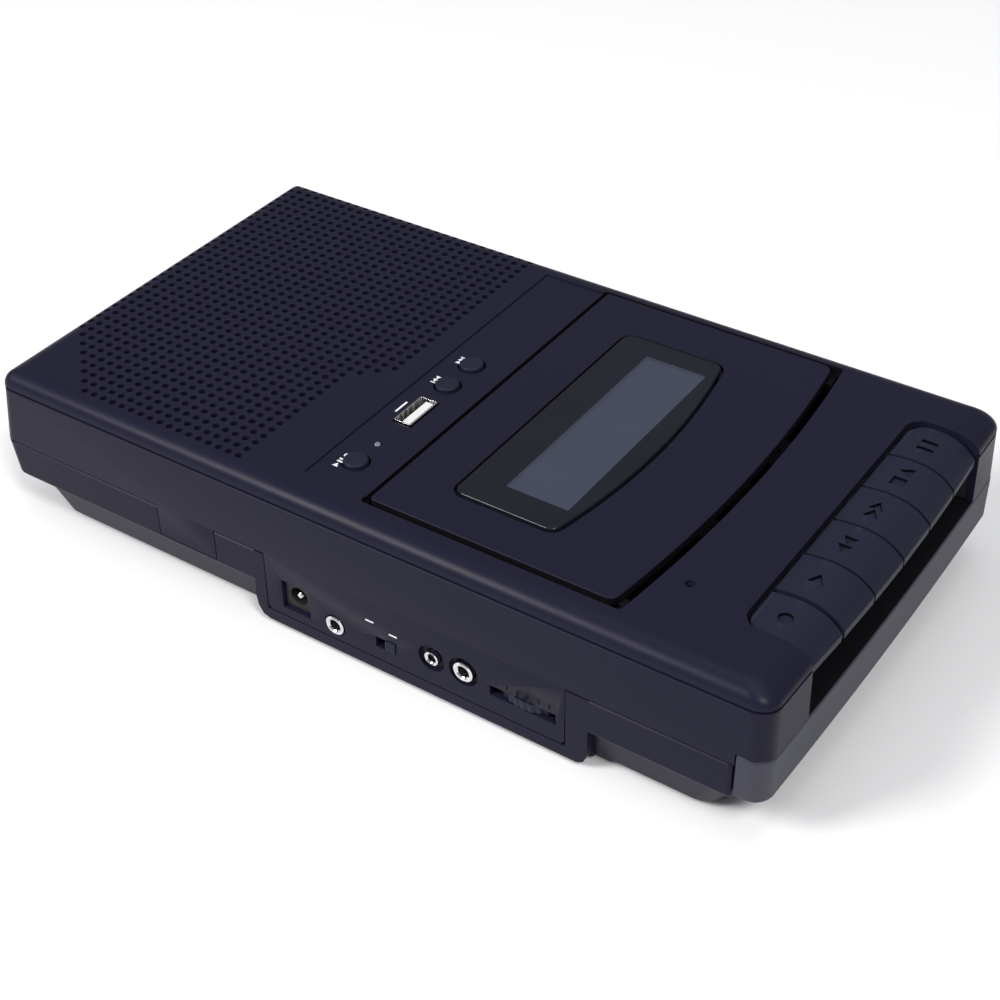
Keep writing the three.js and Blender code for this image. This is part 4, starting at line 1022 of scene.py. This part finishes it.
def build_controls():
    build_buttons()
    build_usb_socket()
    profile = [(0, 37.8), (1.6, 37.8), (1.6, 42), (0.9, 42), (0.9, 48.8), (0.7, 49.05), (0, 49.2)]
    lamp = piece("lamp_lens", turned(profile, (LAMP_X, STRIP_Y, 0)))
    soften(lamp, 0)
    dress(lamp, "machine", LAMP, "white_plastic", "status_led")
    flat_mark(
        "mark_play_record",
        [(-51.4, 13.6), (-51.4, 15.4), (-49.8, 14.5)],
        rectangle(-49.3, -48.7, 13.6, 15.4),
        rectangle(-48.2, -47.6, 13.6, 15.4),
        [(-45.9 + x * 0.85, 14.5 + y * 0.85) for x, y in ring_points(1, 16)],
    )
    flat_mark(
        "mark_previous",
        rectangle(-5.2, -4.8, 14.6, 16.2),
        [(-4.7, 15.4), (-3.3, 14.6), (-3.3, 16.2)],
        [(-3.2, 15.4), (-1.8, 14.6), (-1.8, 16.2)],
    )
    flat_mark(
        "mark_next",
        rectangle(9.6, 10.0, 14.3, 15.9),
        [(9.5, 15.1), (8.1, 15.9), (8.1, 14.3)],
        [(8.0, 15.1), (6.6, 15.9), (6.6, 14.3)],
    )
    flat_mark("mark_socket", rectangle(-22.3, -16.9, 15.4, 16.0))


# ---------------------------------------------------------------- jack panel

def build_inlet():
    inlet = piece("dc_inlet_face", block(-67.2, -55.4, *INLET))
    carve(inlet, rod((-69, INLET_Y, INLET_Z), 2.9, 11, "X", 32))
    soften(inlet, 0.15)
    dress(inlet, "machine", DARK, "inner_plastic", "dc_inlet")
    profile = [(0, -67.0), (0.7, -66.9), (1.0, -66.5), (1.0, -57), (0, -57)]
    pin = piece("dc_inlet_centre_pin", turned(profile, (0, INLET_Y, INLET_Z), "X"))
    dress(soften(pin, 0), "machine", CHROME, "chrome")


def build_jacks():
    face, back = -HALF_WIDTH, -HALF_WIDTH + 3.6
    for node, y, z, ring, bore in JACKS:
        profile = [
            (bore, face + 2.4), (bore, face + 0.1), (bore + 0.35, face - 0.32),
            (ring - 0.5, face - 0.4), (ring - 0.12, face - 0.2), (ring, face + 0.3),
            (ring, back), (bore, back), (bore, face + 2.4),
        ]
        ferrule = soften(piece(node + "_ferrule", turned(profile, (0, y, z), "X", 40)), 0)
        dress(ferrule, "machine", CHROME, "chrome", node)
        body = piece(node + "_block", block(-64.9, -54.4, y - 4, y + 4, 7.3, z + 3.2))
        dress(soften(body, 0.2), "machine", DARK, "inner_plastic")


def build_source_switch():
    knob = piece("source_knob", block(-69, -65.5, -16.15, -13.05, 10.0, 13.0))
    grooves = [-15.6 + 0.8 * i for i in range(3)]
    carve(knob, merge(*[block(-70, -68.8, y, y + 0.3, 9, 14) for y in grooves]))
    soften(knob, 0.12)
    dress(knob, "source", KEYS, "key_plastic", "source_switch_knob")


def build_volume_wheel():
    x, y, z = WHEEL_AT
    rim = []
    for i in range(2 * WHEEL_TEETH):
        reach = WHEEL_RADIUS if i % 4 in (0, 1) else WHEEL_RADIUS - 0.35
        angle = 2 * math.pi * i / (2 * WHEEL_TEETH)
        rim.append((x + reach * math.cos(angle), y + reach * math.sin(angle)))
    wheel = soften(piece("volume_wheel_rim", prism(rim, z - 1.3, z + 1.3)), 0)
    dress(wheel, "volume", KEYS, "key_plastic", "volume_wheel")


def side_mark(y0, y1, z0, z1):
    """A thin bar laid on the jack side: white print, and near-black painted shade standing for a sunk
    tick.
    """
    face = -HALF_WIDTH
    return side_prism([(y0, z0), (y1, z0), (y1, z1), (y0, z1)], face - 0.03, face + 0.02)


def build_jack_panel():
    build_inlet()
    build_jacks()
    build_source_switch()
    build_volume_wheel()
    # The volume ticks are thin near-black sheets: painted shade standing for sunk ticks.
    ticks = []
    for i in range(6):
        y = -48.2 - 3.2 * i
        ticks.append(side_mark(y - 0.2, y + 0.2, 15.6, 16.3 + 0.14 * i))
    dress(piece("volume_scale", merge(*ticks)), "machine", SUNK_SHADE, "case")
    labels = [side_mark(y - 1.3, y + 1.3, z, z + 0.5) for y, z in ((-8.0, 17.4), (-15.6, 15.8))]
    dress(piece("source_marks", merge(*labels)), "machine", INK, "white_plastic")


# ---------------------------------------------------------------- inner nodes keep their CAD shape

CONTACTS = [
    "battery_contact_" + place
    for place in ("front_left", "front_right", "rear_middle", "rear_left", "rear_right")
]
INNER = {
    BLACKENED: ["key_shaft", "deck_plate", "head_carriage", "pinch_arm", "record_play_head"],
    STEEL: ["flywheel", "motor", "speaker_basket", "microphone_capsule", "source_switch_body"]
    + [f"case_screw_{i}" for i in range(1, 5)],
    CHROME: ["capstan_shaft"] + CONTACTS,
    DARK: ["cassette_holder", "volume_control_body"],
    SHADOW: ["erase_head", "pinch_roller"],
    WHITE: ["supply_spindle", "takeup_spindle"],
    RUBBER: ["drive_belt"] + [f"foot_{i}" for i in range(1, 5)],
    BOARD: ["control_board", "main_board"],
    BRASS: ["motor_pulley"],
    PAPER: ["speaker_cone"],
    FERRITE: ["speaker_magnet"],
}


def dress_inner_nodes():
    for material, names in INNER.items():
        for name in names:
            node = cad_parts[name]
            node.data.materials.clear()
            node.data.materials.append(material)
            bevel = node.modifiers.new("edges", "BEVEL")
            bevel.width = 0.12 * MM
            bevel.segments = 2
            bevel.limit_method = "ANGLE"
            bevel.angle_limit = math.radians(50)
            shading = node.modifiers.new("shading", "WEIGHTED_NORMAL")
            shading.keep_sharp = True


# ---------------------------------------------------------------- studio

SKY = (0.93, 0.95, 1.0, 1)


def add_area(name, location, target, size, power):
    """A square lamp facing target; metres and watts."""
    data = bpy.data.lights.new(name, "AREA")
    data.energy = power
    data.size = size
    lamp = bpy.data.objects.new(name, data)
    lamp.location = location
    aim = Vector(target) - Vector(location)
    lamp.rotation_euler = aim.to_track_quat("-Z", "Y").to_euler()
    bpy.context.scene.collection.objects.link(lamp)


def build_studio():
    bm = bmesh.new()
    bmesh.ops.create_grid(bm, x_segments=1, y_segments=1, size=6000)
    floor = piece("studio_floor", bm)
    floor.location.z = -0.0002
    material, _, _, shader = node_material("studio_white")
    fill(shader, "Base Color", (0.8, 0.8, 0.8, 1))
    fill(shader, "Roughness", 0.9)
    floor.data.materials.append(material)
    world = bpy.data.worlds.new("studio")
    bpy.context.scene.world = world
    world.use_nodes = True
    background = world.node_tree.nodes["Background"]
    fill(background, "Color", SKY)
    fill(background, "Strength", 0.28)
    add_area("rear_light", (-1.87, 1.42, 1.95), (0, 0, 0.03), 1.0, 80)
    add_area("front_light", (-0.75, -1.13, 1.65), (0, 0, 0.03), 0.5, 24)
    add_area("top_light", (0.1, -0.1, 1.4), (0, 0, 0), 0.9, 5)


CAMERA_AZIMUTH, CAMERA_ELEVATION, CAMERA_ROLL = -53.63, 37.83, -1.98
CAMERA_AT = (-352.64, -241.37, 341.77)
SENSOR, FOCAL_RATIO = 36, 1.8507


def build_camera():
    """Seen from the jack side and the key end, a little above."""
    data = bpy.data.cameras.new("camera")
    data.sensor_width = SENSOR
    data.lens = FOCAL_RATIO * SENSOR
    data.shift_x, data.shift_y = 0.061, 0.0018
    data.clip_start, data.clip_end = 0.01, 50
    camera = bpy.data.objects.new("camera", data)
    bpy.context.scene.collection.objects.link(camera)
    azimuth, elevation = math.radians(CAMERA_AZIMUTH), math.radians(CAMERA_ELEVATION)
    across = math.cos(elevation)
    back = Vector((math.sin(azimuth) * across, -math.cos(azimuth) * across, math.sin(elevation)))
    roll = Matrix.Rotation(math.radians(CAMERA_ROLL), 4, "Z")
    turn = (-back).to_track_quat("-Z", "Y").to_matrix().to_4x4() @ roll
    camera.matrix_world = Matrix.Translation([c * MM for c in CAMERA_AT]) @ turn
    bpy.context.scene.camera = camera


build_upper_case()
build_lower_case()
build_battery_door()
build_handle()
for key_index in range(len(KEY_NODES)):
    build_key(key_index)
build_lid()
build_controls()
build_jack_panel()
dress_inner_nodes()
build_studio()
build_camera()

settings = bpy.context.scene.view_settings
settings.view_transform = "Standard"
settings.look = "None"
